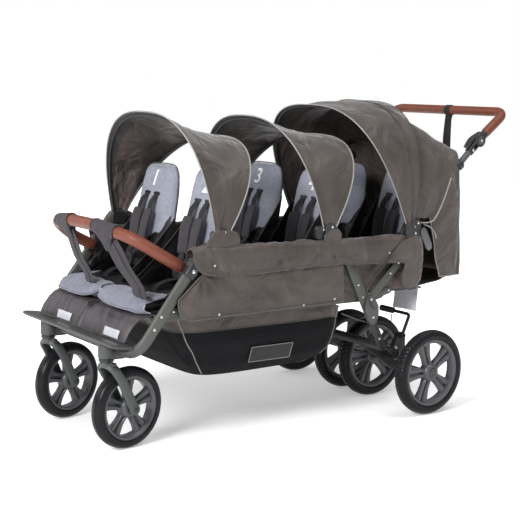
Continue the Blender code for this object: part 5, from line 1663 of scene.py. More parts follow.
def makeWing(number, sign, edge, row, front):  # black side wing from the back to the seat's front corner
    look = seatLook
    inner = edge == -sign  # beside the other seat of the row
    side = sign * look["wingIn"] if inner else sign * look["seatMiddle"] + edge * look["wingOut"]
    place = backPlace(number)
    # On rows 2 and 3 the wings start higher on the back and the outer ones bulge up by lift: black cloth
    # standing in for the shade over those seat backs; the wings themselves are real
    top = place @ Vector((0, 0.036 if row == 0 else 0.092, 0.004))
    low = place @ Vector((0, -0.186, 0.006))
    tip = at(0, front + (0.11 if inner else 0.085), 0.474 if inner else 0.468)
    foot = at(0, front + (0.11 if inner else 0.085), 0.46)
    lift = 0.07 if row > 0 and not inner else -0.012
    grid = []
    for a in range(41):
        s = a / 40
        upper = top.lerp(tip, s) + Vector((0, 0, lift * math.sin(math.pi * s) ** 0.8))
        under = low.lerp(foot, s)
        line = []
        for b in range(17):
            t = b / 16
            point = under.lerp(upper, t)
            ruck = crease(s * 3.4 + t, t * 2.2 + number, 101.0 + edge) * 0.0045
            ruck *= calmEnds(s, 6, 0.1) * calmEnds(t, 6)
            belly = -edge * 0.004 * math.sin(math.pi * t)
            line.append(Vector((side + ruck * 0.8 + (belly if not inner else 0), point.y, point.z)))
        grid.append(line)
    name = "seat_wing_%d_%s" % (number, "left" if edge > 0 else "right")
    wing = makeSheet(name, grid, 0.0014, Vector((edge, 0, 0)), blackCloth)
    start, end = Vector((side, low.y - 0.01, 0.56)), Vector((side, tip.y + 0.03, 0.47))
    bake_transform(wing)
    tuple(start)
    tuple(end)
    hemAllowance = 0.01
    flat = ((foot - Vector((foot.x, low.y, low.z))).length + hemAllowance, (top - low).length)
    declareSheet(wing, grid, flat)
    cord = makeTube(name + "_piping", [line[-1] for line in grid], roundSection(0.0018, 8), bindTape, None)
    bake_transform(cord)
    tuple(start)
    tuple(end)


# Bumper bar, its sleeves and straps
bumperLook = {
    "points": ((0.2665, -0.944, 0.5475), (0.279, -1.012, 0.583), (0.231, -1.09, 0.634),
               (0.104, -1.119, 0.655)),
    "diameter": 0.0365, "sleeves": (0.126, -0.128), "sleeveHalf": 0.052, "sleeveRadius": 0.021,
    "tail": 0.05,
    "feet": ((0.226, -1.06, 0.456), (-0.074, -1.06, 0.456)),
}


def makeBumper():
    look = bumperLook
    left = [at(*p) for p in look["points"]]
    right = [at(-p[0], p[1], p[2]) for p in look["points"]]
    control = left + [at(0, -1.1215, 0.6575)] + right[::-1]
    path = evenly(spline(control, 160), 150)

    def section(index):
        end = min(index, 150 - index) / 4
        grow = min(1.0, 0.8 + 0.2 * min(1.0, end) ** 0.5)
        return roundSection(look["diameter"] * grow, 32)

    piece = makeTube("bumper_leather", path, section, leather, "bumper", Vector((0, 0.4, 1)))
    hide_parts("bumper_bar")
    inward = [p + Vector((0, 0.0145, -0.011)) for p in path[3:-3]]
    makeStitches("bumper_stitches", inward, 0.005, "bumper", 0.0012)
    for sign, side in sides:
        hub = at(sign * 0.278, -0.928, 0.549)
        data = bmesh.new()
        turn = Matrix.Translation(at(sign * 0.2705, -0.928, 0.549))
        addTurned(data, mirrored([(0.0165, 0.007), (0.015, 0.009), (0.0001, 0.009)]), 32, turn)
        first = path[2] if sign > 0 else path[-3]
        core = [hub + Vector((-sign * 0.0075, -0.004, 0.002)),
                hub.lerp(first, 0.6) + Vector((-sign * 0.004, 0, 0)), first]
        addSweep(data, spline(core, 10), ovalSection(0.024, 0.02, 18, 2.6), Vector((0, 0.4, 1)))
        makePiece("bumper_hub_" + side, data, blackPlastic, "bumper")
    for index, centreX in enumerate(look["sleeves"]):
        makeSleeve(index + 1, centreX, path, look["feet"][index])


def makeSleeve(index, centreX, path, footPlace):
    look = bumperLook
    nearest = min(range(len(path)), key=lambda k: abs(path[k].x - centreX))
    span = (path[nearest + 1] - path[nearest - 1]).length / 2
    reach = int(look["sleeveHalf"] / span)
    part = evenly(path[nearest - reach:nearest + reach + 1], 48)
    foot = at(*footPlace)
    middle = path[nearest]
    down = (foot - middle).normalized()
    rings = []
    for k, point in enumerate(part):
        s = (k / 24) - 1
        tangent = (part[min(k + 1, 48)] - part[max(k - 1, 0)]).normalized()
        fall = (down - tangent * down.dot(tangent)).normalized()
        out = tangent.cross(fall)
        tail = look["tail"] * (1 - clamp((abs(s) - 0.42) / 0.58) ** 1.6)
        ring = []
        for step in range(48):
            turn = 2 * math.pi * step / 48
            c, q = math.cos(turn), math.sin(turn)  # c 1 faces down along the strap
            ease = max(0.0, c) ** 3
            ripple = 0.0006 * math.sin(s * 26 + c * 2) * ease
            radius = look["sleeveRadius"] + 0.0008 * math.sin(turn * 3 + s * 7)
            ring.append(point + fall * (radius * c + tail * ease) + out
                        * (radius * q * (1 - 0.45 * ease) + ripple)
                        - tangent * (0.02 * s * ease))
        rings.append(ring)
    data = bmesh.new()
    addLoft(data, rings)
    piece = makePiece("bumper_sleeve_%d" % index, data, strapCloth, "bumper")
    for k, word in ((0, "inner"), (48, "outer")):
        ring = rings[k]
        makeCord("bumper_sleeve_%d_%s_edge" % (index, word), evenly(ring + ring[:2], 48), 0.0044, edgeCloth,
                 "bumper", 8)
    along = (part[28] - part[20]).normalized()
    tip = middle + down * (look["sleeveRadius"] + look["tail"] - 0.006)
    for layer, (shift, width, lift) in enumerate(((-0.015, 0.036, 0.0), (0.015, 0.038, 0.0036))):
        front = along.cross(down).normalized()
        if front.y > 0:
            front = -front
        offset = along * shift + front * lift
        knee = foot + Vector((0, -0.006, 0.04))
        points = [middle + down * 0.03 + offset * 0.8, tip + offset,
                  tip.lerp(knee, 0.5) + offset * 0.9 + front * 0.006, knee + offset * 0.8 + front * 0.002,
                  foot + offset * 0.8 + Vector((0, 0.004, 0.008)),
                  foot + offset * 0.8 + Vector((0.004, 0.026, 0.0045))]

        strap = makeTube("bumper_strap_%d_%d" % (index, layer + 1), spline(points, 48),
                         ovalSection(width, 0.0036, 20, 4),
                         strapCloth, None, along)
        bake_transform(strap)


# Handlebar: leather grip with a seam, joints, tubes and wrist strap
handleLook = {"half": 0.28, "pivot": (0.262, 0.9235), "bar": (0.392, 1.0225), "foot": (-0.03, 0.654),
              "grip": 0.0328, "bend": 0.042,
              "strapX": 0.006, "strapDrop": 0.17}


def makeHandle():
    look = handleLook
    half = look["half"] - 0.0005
    pivotY, pivotZ = look["pivot"]
    barY, barZ = look["bar"]
    start = Vector((0, barY - pivotY, barZ - pivotZ)).normalized()
    corners = [at(half, pivotY, pivotZ) + start * 0.036, at(half, barY, barZ), at(-half, barY, barZ),
               at(-half, pivotY, pivotZ) + start * 0.036]
    path = evenly(bentPath(corners, look["bend"], 14), 180)

    def section(index):
        end = min(index, 180 - index)
        grow = 1.0 if end > 2 else (0.8, 0.94, 0.99)[end]
        return roundSection(look["grip"] * grow, 32)

    piece = makeTube("handlebar_leather", path, section, leather, "handle")
    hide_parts("handlebar")
    normal = xAxis.cross(start)
    if normal.z > 0:
        normal = -normal
    makeStitches("handlebar_stitches", [p + normal * 0.0163 for p in path[4:-4]], 0.0052, "handle", 0.0014)
    for sign in (1, -1):
        makeHandleSide(sign, "left" if sign > 0 else "right", start)
    centre = at(look["strapX"], barY, barZ)
    ring = [centre + Vector((0, math.cos(turn), math.sin(turn))) * 0.0177
            for turn in (2 * math.pi * k / 40 for k in range(42))]
    data = bmesh.new()
    addSweep(data, ring, ovalSection(0.026, 0.0022, 12, 5), xAxis)
    addSweep(data, [p + Vector((0.001, 0, 0)) for p in ring[26:40]], ovalSection(0.033, 0.004, 12, 5),
             xAxis)
    for sign in (-1, 1):
        bottom = centre - Vector((0, 0.004, look["strapDrop"]))
        points = [centre + Vector((sign * 0.0045, 0, -0.016)),
                  centre + Vector((sign * 0.0035, -0.004, -0.04)),
                  centre + Vector((sign * 0.006, -0.006, -0.1)), bottom + Vector((sign * 0.0055, 0, 0.014)),
                  bottom + Vector((sign * 0.0015, 0, 0))]
        addSweep(data, spline(points, 40), ovalSection(0.02, 0.0022, 12, 5), Vector((0.75, 0.66, 0)))
    makePiece("wrist_strap", data, webCloth, "handle")


def makeHandleSide(sign, side, rise):
    look = handleLook
    half = look["half"]
    foot, pivot = at(sign * half, *look["foot"]), at(sign * half, *look["pivot"])
    lower = (pivot - foot).normalized()
    data = bmesh.new()
    addSweep(data, [foot - lower * 0.012, foot + lower * 0.1, pivot - lower * 0.046],
             roundSection(0.022, 28), xAxis)
    piece = makePiece("handle_upright_" + side, data, satinFrame, "chassis")
    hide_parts("handle_tube_" + side)
    data = bmesh.new()
    body = Matrix.Translation(pivot)
    addTurned(data, mirrored([(0.024, 0.0105), (0.0215, 0.013), (0.0001, 0.013)]), 44, body)
    for direction, reach, size in ((-lower, 0.062, 0.0285), (-lower, 0.04, 0.031)):
        addSweep(data, [pivot, pivot + direction * reach * 0.6, pivot + direction * reach],
                 ovalSection(size, 0.025, 24, 3), Vector((0, lower.z, -lower.y)))
    addSweep(data, [pivot, pivot + rise * 0.028, pivot + rise * 0.037], ovalSection(0.0275, 0.024, 24, 3),
             Vector((0, rise.z, -rise.y)))
    piece = makePiece("handle_hinge_" + side, data, blackPlastic, "chassis")
    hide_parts("handle_joint_" + side)
    button = Matrix.Translation(pivot) @ facing(sign)
    data = bmesh.new()
    addTurned(data, [(0.0001, 0.012), (0.015, 0.012), (0.015, 0.0138), (0.013, 0.0152), (0.0001, 0.0156)],
              32, button)
    makePiece("handle_button_" + side, data, greyPlastic, "handle")
    bolts = [pivot + xAxis * sign * 0.015, pivot - lower * 0.05 + xAxis * sign * 0.0125]
    rivets("handle_bolts_" + side, bolts, 0.0046, sign)
    release = [pivot + rise * 0.03 + Vector((0, -0.02, 0.006)),
               pivot - lower * 0.01 + Vector((0, -0.03, 0.01)),
               pivot - lower * 0.052 + Vector((0, -0.022, 0.01))]
    section = ovalSection(0.021, 0.012, 20, 3)
    makeTube("handle_release_" + side, spline(release, 16), section, blackPlastic, "chassis", xAxis)
    sleeve = [foot + lower * 0.165, foot + lower * 0.205]
    data = bmesh.new()
    addSweep(data, sleeve, roundSection(0.0265, 28), xAxis)
    addSweep(data, [sleeve[0] + Vector((0, -0.018, 0.004)), sleeve[1] + Vector((0, -0.018, 0.01))],
             ovalSection(0.016, 0.01, 16, 3), xAxis)
    makePiece("handle_collar_" + side, data, greyPlastic, "chassis")


# Covers, clips and brackets at the canopy feet
coverLook = {
    "middle": 0.3085,
    "cover": ((-0.893, 0.607), (-0.88, 0.632), (-0.856, 0.655), (-0.812, 0.656), (-0.78, 0.646),
              (-0.77, 0.628),
              (-0.78, 0.609), (-0.84, 0.605)),
    "tab": ((-0.443, 0.61), (-0.434, 0.634), (-0.412, 0.645), (-0.386, 0.64), (-0.374, 0.62),
            (-0.384, 0.606),
            (-0.415, 0.604)),
    "brackets": ((0.303, -0.838, 0.634, 0.052, 0.04), (0.303, -0.447, 0.632, 0.046, 0.044),
                 (0.319, -0.068, 0.628, 0.06, 0.052)),  # outer face, middle y and z, width, height
}


def makeCanopyCovers():
    for sign, side in sides:
        pillow("canopy_1_cover_" + side, coverLook["cover"], sign, coverLook["middle"], 0.013, taupe,
               bindTape)
        pillow("canopy_2_tab_" + side, coverLook["tab"], sign, coverLook["middle"], 0.009, taupe, bindTape)
        for index, (outer, y, z, width, height) in enumerate(coverLook["brackets"]):
            name = "canopy_%d_bracket_" % (index + 1)
            data = bmesh.new()
            levels = ((outer - 0.016, 0.94), (outer - 0.014, 1.0), (outer - 0.002, 1.0), (outer, 0.93))
            addStack(data, ovalSection(width, height, 28, 4.5), levels, lambda u, v,
                     h: at(sign * h, y + u, z + v))
            makePiece(name + side, data, blackPlastic, "chassis")
            studs = onSide(sign * outer, (y + 0.006, z + 0.01), (y + 0.012, z - 0.012))
            rivets(name + "studs_" + side, studs, 0.004, sign)


def pillow(name, outline, sign, middleX, thick, material, edging):
    rim = spline([at(sign * middleX, y, z) for y, z in (*outline, outline[0])], 72)[:-1]
    middle = sum(rim, Vector()) / len(rim)
    rings = []
    for scale, out in ((0.25, -0.92), (0.75, -0.8), (0.96, -0.35), (1.0, 0.0), (0.96, 0.42), (0.8, 0.86),
                       (0.5, 1.0), (0.15, 1.0)):
        ring = []
        for point in rim:
            place = middle + (point - middle) * scale
            ruck = crease(place.y * 40, place.z * 40, 111.0) * 0.0016 * (1 if out > 0 else 0)
            ring.append(place + Vector((sign * (out * thick / 2 + ruck), 0, 0)))
        rings.append(ring)
    data = bmesh.new()
    addLoft(data, rings)
    piece = makePiece(name, data, material, "chassis")
    path = [p + Vector((sign * 0.0015, 0, 0)) for p in rim + rim[:2]]
    makeCord(name + "_piping", path, 0.003, edging, "chassis", 8)


# Frame details: front tube, casters, sockets, legs, brake, footboard and the cloth behind the legs
frameLook = {
    "half": 0.298, "socket": (-0.928, 0.549), "corner": (-1.11, 0.303), "bend": 0.062,
    "tube": (0.034, 0.019),
    "stem": (0.187, -1.145), "housing": (0.2835, 0.329), "trail": 0.08, "arm": 0.036, "axle": 0.1236,
    "legPivot": (-0.335, 0.548), "linkPivot": (-0.222, 0.343), "legFoot": (-0.165, 0.238),
    "strutPivot": (-0.113, 0.52), "strutFoot": (-0.236, 0.404), "wheelTurns": wheelLook["frontTurns"],
    "link": ((-0.246, 0.41), (-0.236, 0.418), (-0.224, 0.414), (-0.203, 0.386), (-0.199, 0.372),
             (-0.199, 0.345),
             (-0.206, 0.328), (-0.218, 0.3175), (-0.232, 0.324), (-0.246, 0.345), (-0.257, 0.372),
             (-0.255, 0.388)),
    "mount": ((-0.0655, 0.571), (-0.029, 0.571), (-0.0142, 0.594), (-0.0196, 0.6427), (-0.0404, 0.664),
              (-0.0655, 0.6085)),
    "railX": 0.277, "rail": ((-1.04, 0.405), (-1.0385, 0.405), (-0.19, 0.405), (-0.165, 0.409),
                             (-0.14, 0.428),
                             (-0.12, 0.442), (-0.1, 0.446), (0.0035, 0.446), (0.005, 0.446)),
    "crossTubes": ((-1.028, 0.405), (-0.836, 0.405), (-0.418, 0.405), (-0.02, 0.446)),
    "posts": (-0.7, -0.378, -0.082),
}


def capsule(first, last, width, steps=12):  # the outline of a bar with round ends
    one, two = Vector(first), Vector(last)
    along = (two - one).normalized()
    side = Vector((-along.y, along.x))
    points = []
    for centre, start in ((two, 0.0), (one, math.pi)):
        for step in range(steps + 1):
            turn = start - math.pi / 2 + math.pi * step / steps
            points.append(centre + (along * math.cos(turn) + side * math.sin(turn)) * width / 2)
    return points


def addPlate(data, outline, low, high, sign, edge=0.0012, index=0):  # a flat plate with softened edges
    middle = sum((Vector(p) for p in outline), Vector((0, 0))) / len(outline)
    rings = []
    for x, inset in ((low, edge), (low + edge * 0.3, edge * 0.3), (low + edge, 0), (high - edge, 0),
                     (high - edge * 0.3, edge * 0.3), (high, edge)):
        places = [Vector(p) + (middle - Vector(p)).normalized() * inset for p in outline]
        rings.append([at(sign * x, p.x, p.y) for p in places])
    addLoft(data, rings, index=index)


def makeFrontTube():
    look = frameLook
    socket, corner = at(look["half"], *look["socket"]), at(look["half"], *look["corner"])
    down = (corner - socket).normalized()
    start = socket + down * 0.0313
    wide = xAxis.cross(down)
    path = bentPath([start, corner, mirrorX @ corner, mirrorX @ start], look["bend"], 16)
    piece = makeTube("front_tube", path, ovalSection(*look["tube"], 40, 2.8), satinFrame, "chassis", wide)
    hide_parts("front_frame")
    for sign, side in sides:
        flip = Matrix.Identity(3) if sign > 0 else mirrorX
        data = bmesh.new()
        steps = ((-0.031, 0.88), (-0.0295, 0.97), (-0.0265, 1.0), (0.025, 1.0), (0.0285, 0.97),
                 (0.031, 0.9))
        rings = [[flip @ p for p in ring] for ring in sweepRings(
            [socket + down * reach for reach, _ in steps],
            lambda index: ovalSection(0.038 * steps[index][1], 0.036 * steps[index][1], 32, 3.6), wide)]
        addLoft(data, rings)
        for reach in (-0.018, 0.012):  # two raised bands and the hub's boss
            swell = (0.0, 0.002, 0.002, 0.0)
            shape = lambda index: ovalSection(0.0395 + swell[index], 0.0375 + swell[index], 32, 3.6)
            band = sweepRings([socket + down * (reach + h) for h in (-0.004, -0.003, 0.003, 0.004)], shape,
                              wide)
            addLoft(data, [[flip @ p for p in ring] for ring in band])
        piece = makePiece("bumper_bracket_" + side, data, blackPlastic, "chassis")
        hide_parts("bumper_socket_" + side)
        rivets("bumper_bracket_bolts_" + side, onSide(sign * 0.3168, (-0.934, 0.541)), 0.006, sign)
        rivets("front_tube_rivets_" + side, onSide(sign * 0.3072, (-1.034, 0.416), (-1.057, 0.38)), 0.0046,
               sign)
        data = bmesh.new()
        addPlate(data, capsule((-1.03, 0.408), (-0.978, 0.424), 0.024), 0.2865, 0.2895, sign)
        makePiece("rail_bracket_" + side, data, satinFrame, "chassis")
        rivets("rail_bracket_rivet_" + side, onSide(sign * 0.2893, (-0.982, 0.424)), 0.0042, sign)


def makeCasters():
    look = frameLook
    low, high = look["housing"]
    for (sign, side), angle in zip(sides, look["wheelTurns"]):
        x = sign * look["stem"][0]
        stem = Matrix.Translation(at(x, look["stem"][1], 0))
        data = bmesh.new()
        addTurned(data, [(0.0001, low), (0.0215, low), (0.0238, low + 0.0025), (0.0244, low + 0.008),
                         (0.0244, high - 0.005),
                         (0.0226, high - 0.0012), (0.0001, high - 0.0006)], 44, stem, "Z")
        levels = ((-1.137, 1.0), (-1.09, 1.0), (-1.085, 0.94), (-1.082, 0.82))
        addStack(data, ovalSection(0.036, 0.05, 28, 4), levels, lambda u, v, y: at(x + u, y, 0.303 + v))
        piece = makePiece("caster_head_" + side, data, greyPlastic, "chassis")
        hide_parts("caster_housing_" + side)
        body = "caster_" + side
        swing = stem @ Matrix.Rotation(math.radians(angle), 4, "Z")
        data = bmesh.new()
        addTurned(data, [(0.0001, low - 0.01), (0.02, low - 0.01), (0.0222, low - 0.0085),
                         (0.0222, low - 0.002),
                         (0.0205, low - 0.0004), (0.0001, low - 0.0004)], 40, swing, "Z")
        makePiece("caster_collar_" + side, data, blackPlastic, body)
        data = bmesh.new()
        addTurned(data, [(0.0001, 0.256), (0.014, 0.256), (0.018, 0.26), (0.0185, low - 0.012),
                         (0.0175, low - 0.0102),
                         (0.0001, low - 0.0102)], 36, swing, "Z")
        arm, trail, axle = look["arm"], look["trail"], look["axle"]
        half = [Vector((arm, trail, axle)), Vector((arm, 0.034, 0.214)), Vector((arm * 0.92, 0.0, 0.264))]
        path = bentPath(half + [Vector((-p.x, p.y, p.z)) for p in reversed(half)], 0.026, 12)
        count = len(path) - 1

        def section(index):
            end = 1 - min(index, count - index) / (count / 2)
            return ovalSection(0.027 + 0.005 * end, 0.0175 - 0.002 * end, 26, 2.4)

        rings = sweepRings(path, section, Vector((0, 1, 0.6)))
        addLoft(data, [[swing @ p for p in ring] for ring in rings])
        for s in (-1, 1):
            eye = swing @ Matrix.Translation((s * arm, trail, axle))
            addTurned(data, mirrored([(0.0165, 0.0055), (0.011, 0.0082), (0.0001, 0.0082)]), 30, eye)
        piece = makePiece("caster_arch_" + side, data, forkPaint, body)
        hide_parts("caster_fork_" + side)
        data = bmesh.new()
        for s in (-1, 1):
            turn = swing @ Matrix.Translation((s * (arm + 0.0078), trail, axle)) @ facing(s)
            addTurned(data, [(0.0001, 0.0), (0.008, 0.0), (0.008, 0.003), (0.0065, 0.0042),
                             (0.0001, 0.0046)], 6, turn)
        makePiece("caster_axle_nuts_" + side, data, satinDark, body)
        lowLock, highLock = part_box("swivel_lock_" + side)
        middle = (lowLock + highLock) / 2
        length = highLock.x - lowLock.x
        places = [Vector((lowLock.x + t * length, middle.y, middle.z + 0.0015 * math.sin(t * 3)))
                  for t in (0.17, 0.25, 0.42, 0.7, 0.88, 0.97, 1.0)]
        sizes = (0.7, 0.72, 0.76, 0.92, 1.0, 0.9, 0.6)
        piece = makeTube("caster_lock_lever_" + side, places,
                         lambda index: ovalSection(0.0155 * sizes[index], 0.0115 * sizes[index], 20, 3),
                         blackPlastic, "lock_lever_" + side, yAxis)
        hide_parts("swivel_lock_" + side)


def makeLegs():
    look = frameLook
    link = spline(inPlane(*look["link"], look["link"][0]), 56)[:-1]
    for sign, side in sides:
        data = bmesh.new()
        addPlate(data, capsule(look["legPivot"], look["linkPivot"], 0.034), 0.2942, 0.3018, sign)
        addPlate(data, capsule(look["linkPivot"], look["legFoot"], 0.029), 0.2952, 0.3008, sign, index=1)
        piece = makePiece("rear_leg_bar_" + side, data, (satinFrame, blackPlastic), "rear_undercarriage")
        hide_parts("rear_leg_" + side)
        studs = onSide(sign * 0.3016, (-0.284, 0.454), (-0.261, 0.413), (-0.18, 0.266))
        rivets("rear_leg_rivets_" + side, studs, 0.0042, sign, "rear_undercarriage")
        data = bmesh.new()
        addPlate(data, capsule(look["strutPivot"], look["strutFoot"], 0.026), 0.3024, 0.3072, sign)
        piece = makePiece("fold_strut_bar_" + side, data, satinFrame, "fold_struts")
        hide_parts("fold_strut_" + side)
        rivets("fold_strut_rivets_" + side, onSide(sign * 0.307, (-0.15, 0.485), (-0.115, 0.518)), 0.0042,
               sign, "fold_struts")
        data = bmesh.new()
        addPlate(data, [Vector((p.y, p.z)) for p in link], 0.3077, 0.3124, sign)
        piece = makePiece("link_plate_" + side, data, satinFrame, "strut_links")
        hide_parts("strut_link_" + side)
        rivets("link_plate_rivets_" + side, onSide(sign * 0.3122, (-0.234, 0.405), (-0.222, 0.344)), 0.005,
               sign, "strut_links")
        data = bmesh.new()  # suspension spring with its end cups, and bolts
        top, low = at(sign * 0.262, -0.168, 0.262), at(sign * 0.24, -0.046, 0.186)
        axis = (low - top).normalized()
        across = axis.cross(zAxis).normalized()
        other = axis.cross(across)
        coil = [top.lerp(low, k / 180) + (across * math.cos(k * 0.28) + other * math.sin(k * 0.28)) * 0.0135
                for k in range(181)]
        addSweep(data, coil, roundSection(0.0042, 8))
        addSweep(data, [top - axis * 0.018, top, low, low + axis * 0.014], roundSection(0.015, 20), xAxis)
        for place in (top, low):
            addSweep(data, [place - axis * 0.006, place - axis * 0.005, place + axis * 0.005,
                            place + axis * 0.006], roundSection(0.036, 28), xAxis)
        makePiece("suspension_" + side, data, blackPlastic, "rear_undercarriage")
        bolts = onSide(sign * 0.2225, (-0.006, 0.243), (-0.03, 0.205), (0.002, 0.165))
        rivets("suspension_bolts_" + side, bolts, 0.0062, sign, "rear_undercarriage")
        data = bmesh.new()
        addPlate(data, capsule((-0.196, 0.414), (-0.14, 0.426), 0.024), 0.29, 0.293, sign)
        makePiece("seat_bracket_" + side, data, satinFrame, "chassis")
        rivets("seat_bracket_rivet_" + side, onSide(sign * 0.2928, (-0.142, 0.426)), 0.004, sign)
        data = bmesh.new()
        addPlate(data, look["mount"], 0.2662, 0.3062, sign, 0.004)
        piece = makePiece("handle_mount_" + side, data, blackPlastic, "chassis")
        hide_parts("handle_socket_" + side)
        data = bmesh.new()
        addPlate(data, capsule((-0.01, 0.618), (0.02, 0.566), 0.03, 3), 0.3065, 0.3095, sign, 0.001)
        makePiece("handle_mount_clip_" + side, data, clipPlastic, "chassis")
        wire = spline(onSide(sign * 0.277, (-0.33, 0.36), (-0.29, 0.345), (-0.25, 0.331), (-0.212, 0.319)),
                      24)
        makeCord("basket_rear_wire_" + side, wire, 0.005, satinFrame, "rear_undercarriage", 8)


def makeSeatFrame():
    look = frameLook
    data = bmesh.new()
    for sign in (-1, 1):
        sizes = (0.8, 1, 1, 1, 1, 1, 1, 1, 0.8)
        path = onSide(sign * look["railX"], *look["rail"])
        addSweep(data, path, lambda index: ovalSection(0.01 * sizes[index], 0.024 * sizes[index], 20, 4),
                 xAxis)
        for y in look["posts"]:
            low = 0.398 if y < -0.2 else 0.44
            levels = ((low, 0.8), (low + 0.002, 1.0), (0.583, 1.0), (0.585, 0.8))
            addStack(data, ovalSection(0.008, 0.018, 20, 4), levels, lambda u, v,
                     z: at(sign * (0.287 + u), y + v, z))
            addLoft(data, [[at(sign * x, y + u, 0.578 + v) for u, v in ovalSection(0.018, 0.014, 16, 4)]
                           for x in (0.286, 0.298)])
    for y, z in look["crossTubes"]:
        addSweep(data, [at(share * look["railX"], y, z) for share in (-1, 0, 1)], roundSection(0.015, 16),
                 zAxis)
    piece = makePiece("seat_rails", data, satinFrame, "chassis")
    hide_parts("seat_frame")


brakeLook = {"pivot": (0.2213, -0.004, 0.246), "grip": (0.066, 0.132), "gripY": 0.04, "gripZ": 0.314,
             "ribs": 9,
             "rod": 0.0116}


def makeBrakePedal():
    look = brakeLook
    pivot = at(*look["pivot"])
    start, end = look["grip"]
    y, z = look["gripY"], look["gripZ"]
    path = bentPath([pivot, at(0.223, 0.003, 0.256), at(0.212, y, z), at(start, y, z)], 0.014, 8)
    data = bmesh.new()
    addSweep(data, path, roundSection(look["rod"], 18), Vector((0.2, 0.3, 1)))
    addTurned(data, [(0.0045, 0.0), (0.01, 0.0), (0.01, 0.0115), (0.0045, 0.012)], 28,
              Matrix.Translation(pivot))
    piece = makePiece("brake_lever", data, satinDark, "brake")
    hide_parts("brake_pedal")
    profile = [(0.003, start)]
    for rib in range(look["ribs"]):
        low = start + rib * 0.0072
        profile += [(0.0095, low + 0.0006), (0.0112, low + 0.002), (0.0112, low + 0.0048),
                    (0.0095, low + 0.0062)]
    profile += [(0.003, end)]
    data = bmesh.new()
    addTurned(data, profile, 32, Matrix.Translation(at(0, y, z)))
    makePiece("brake_lever_grip", data, blackPlastic, "brake")
    wire = spline([at(0.128, 0.034, 0.3), at(0.14, 0.022, 0.286), at(0.16, 0.0, 0.262),
                   at(0.172, -0.03, 0.24)], 24)
    makeCord("brake_wire", wire, 0.0036, blackPlastic, "brake", 8)


cableLook = {
    "width": 0.0048,
    "places": ((0.3087, -0.046, 0.6), (0.315, -0.072, 0.606), (0.3195, -0.11, 0.602),
               (0.3205, -0.15, 0.566),
               (0.3205, -0.188, 0.524), (0.3205, -0.232, 0.48), (0.3205, -0.258, 0.45),
               (0.3205, -0.262, 0.424),
               (0.3205, -0.246, 0.396), (0.3205, -0.226, 0.372)),
}


def makeReleaseCable():
    path = spline([at(*place) for place in cableLook["places"]], 60)
    piece = makeTube("release_cable_sleeve", path, roundSection(cableLook["width"], 10), blackPlastic,
                     "chassis")
    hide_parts("release_cable")


boardLook = {
    "middle": (-1.148, 0.3345), "width": 0.068, "thick": 0.014, "ribs": (-1.146, -1.155, -1.164),
    "places": (-0.316, -0.313, -0.302, -0.28, -0.24, 0.24, 0.272, 0.29, 0.3, 0.303),
    "sizes": (0.3, 0.7, 0.92, 1.02, 1.0, 1.0, 1.02, 0.92, 0.7, 0.3),
}


def makeFootboard():
    look = boardLook
    sizes = look["sizes"]
    path = [at(x, *look["middle"]) for x in look["places"]]
    tilt = Vector((0, 1, -0.1)).normalized()
    shape = lambda index: ovalSection(look["width"] * sizes[index], look["thick"] * max(0.6, sizes[index]),
                                      36, 3.4)
    piece = makeTube("footboard_tread", path, shape, boardPlastic, "chassis", tilt)
    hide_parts("footboard")
    data = bmesh.new()
    for y in look["ribs"]:
        z = 0.3402 - (y + 1.146) * 0.1
        addSweep(data, [at(-0.262, y, z), at(-0.258, y, z + 0.0004), at(0.258, y, z + 0.0004),
                        at(0.262, y, z)], ovalSection(0.0028, 0.0018, 10), yAxis)
    makePiece("footboard_ribs", data, boardPlastic, "chassis")
    # a pale cord along the board's top front edge: a painted highlight
    edge = [at(x, -1.1802, 0.338) for x in (-0.27, -0.1, 0.1, 0.27)]
    makeCord("footboard_painted_highlight", edge, 0.0022, clipPlastic, "chassis", 8)


rearClothLook = {
    "front": -0.362, "rear": -0.034, "inner": 0.2895, "outward": 0.0215, "top": 0.548,
    "roll": ((-0.084, 0.604), (-0.052, 0.612), (-0.028, 0.6), (-0.016, 0.56), (-0.014, 0.51), (-0.02, 0.46),
             (-0.036, 0.436), (-0.066, 0.426), (-0.096, 0.436), (-0.106, 0.462), (-0.096, 0.51),
             (-0.09, 0.56)),
    "under": ((-0.15, 0.428), (-0.06, 0.426), (0.02, 0.429), (0.08, 0.437), (0.13, 0.447), (0.184, 0.458)),
    "underHalf": 0.284, "tag": (0.166, 0.004, 0.432), "tagSize": (0.116, 0.096),
}


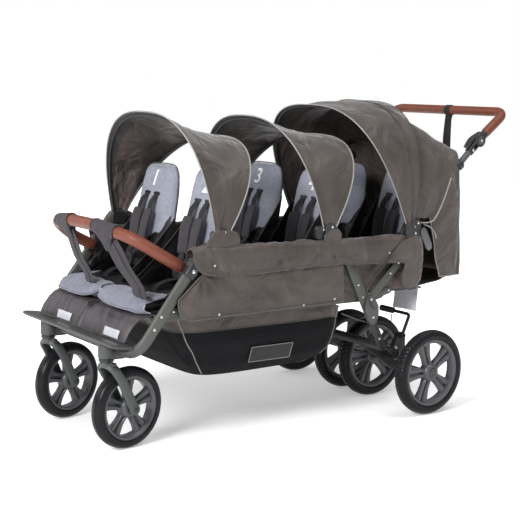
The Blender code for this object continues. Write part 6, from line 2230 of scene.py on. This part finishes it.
def rearPanelPoint(sign, s, t):  # flat behind the leg, then out over the roll
    look = rearClothLook
    y = look["front"] + (look["rear"] - look["front"]) * s
    low = 0.399 + 0.031 * clamp((y + 0.3) / 0.1)
    z = low + (look["top"] - low) * t
    near = clamp((y + 0.118 + (0.47 - z) * 0.5) / 0.05)
    out = near * near * (3 - 2 * near)
    x = look["inner"] + look["outward"] * out
    x += crease(s * 7, t * 2.4, 131.0 + sign) * (0.0022 + 0.004 * out)
    return at(sign * x, y, z)


def makeRearCloth():
    for sign, side in sides:
        grid = gridOf(44, 26, lambda s, t: rearPanelPoint(sign, s, t))
        piece = makeSheet("side_rear_panel_" + side, grid, 0.0014, Vector((-sign, 0, 0)), (taupe, paintedLightLining),
                          "chassis")
        declareSheet(piece, grid)
        pillow("side_rear_roll_" + side, rearClothLook["roll"], sign, 0.315, 0.015, taupe, edgeCloth)
    grid = []
    shape = inPlane(*rearClothLook["under"])
    for a in range(49):
        across = -1 + a / 24
        line = []
        for b, base in enumerate(spline(shape, 30)):
            t = b / 30
            ruck = crease(across * 4, t * 3, 151.0) * 0.005 * calmEnds(t, 6) + 0.004 * across ** 2 * t
            line.append(at(across * rearClothLook["underHalf"], base.y, base.z + ruck))
        grid.append(line)
    piece = makeSheet("rear_under_cloth", grid, 0.0016, Vector((0, -0.5, 1)), darkTaupe, "chassis")
    declareSheet(piece, grid)
    x, y, z = rearClothLook["tag"]
    width, drop = rearClothLook["tagSize"]
    grid = gridOf(16, 12, lambda a, b: at(x + width * a, y + 0.0035 * math.sin(a * 8 + b * 4.2) * b,
                                          z - drop * b + 0.004 * a))
    piece = makeSheet("care_tag", grid, 0.0007, yAxis, careCloth, "chassis")
    declareSheet(piece, grid)


makeStudio()
print("studio")
makeWheels()
print("wheels")
makeCanopies()
makeRearHood()
print("canopies")
makeSidePanels()
makeBasket()
makeApron()
print("panels and basket")
makeBacks()
makeCushions()
print("seats")
makeBumper()
makeHandle()
makeCanopyCovers()
print("bumper and handle")
makeFrontTube()
makeCasters()
makeLegs()
makeSeatFrame()
makeReleaseCable()
makeBrakePedal()
makeFootboard()
makeRearCloth()
print("frame details")

# Plain finishes for the frame nodes that stay in sight
plainNodes = {"top_rail_left": satinFrame, "top_rail_right": satinFrame, "rear_axle": blackPlastic,
              "seat_floor": blackCloth}
for name, finish in plainNodes.items():
    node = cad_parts[name]
    node.data.materials.clear()
    node.data.materials.append(finish)
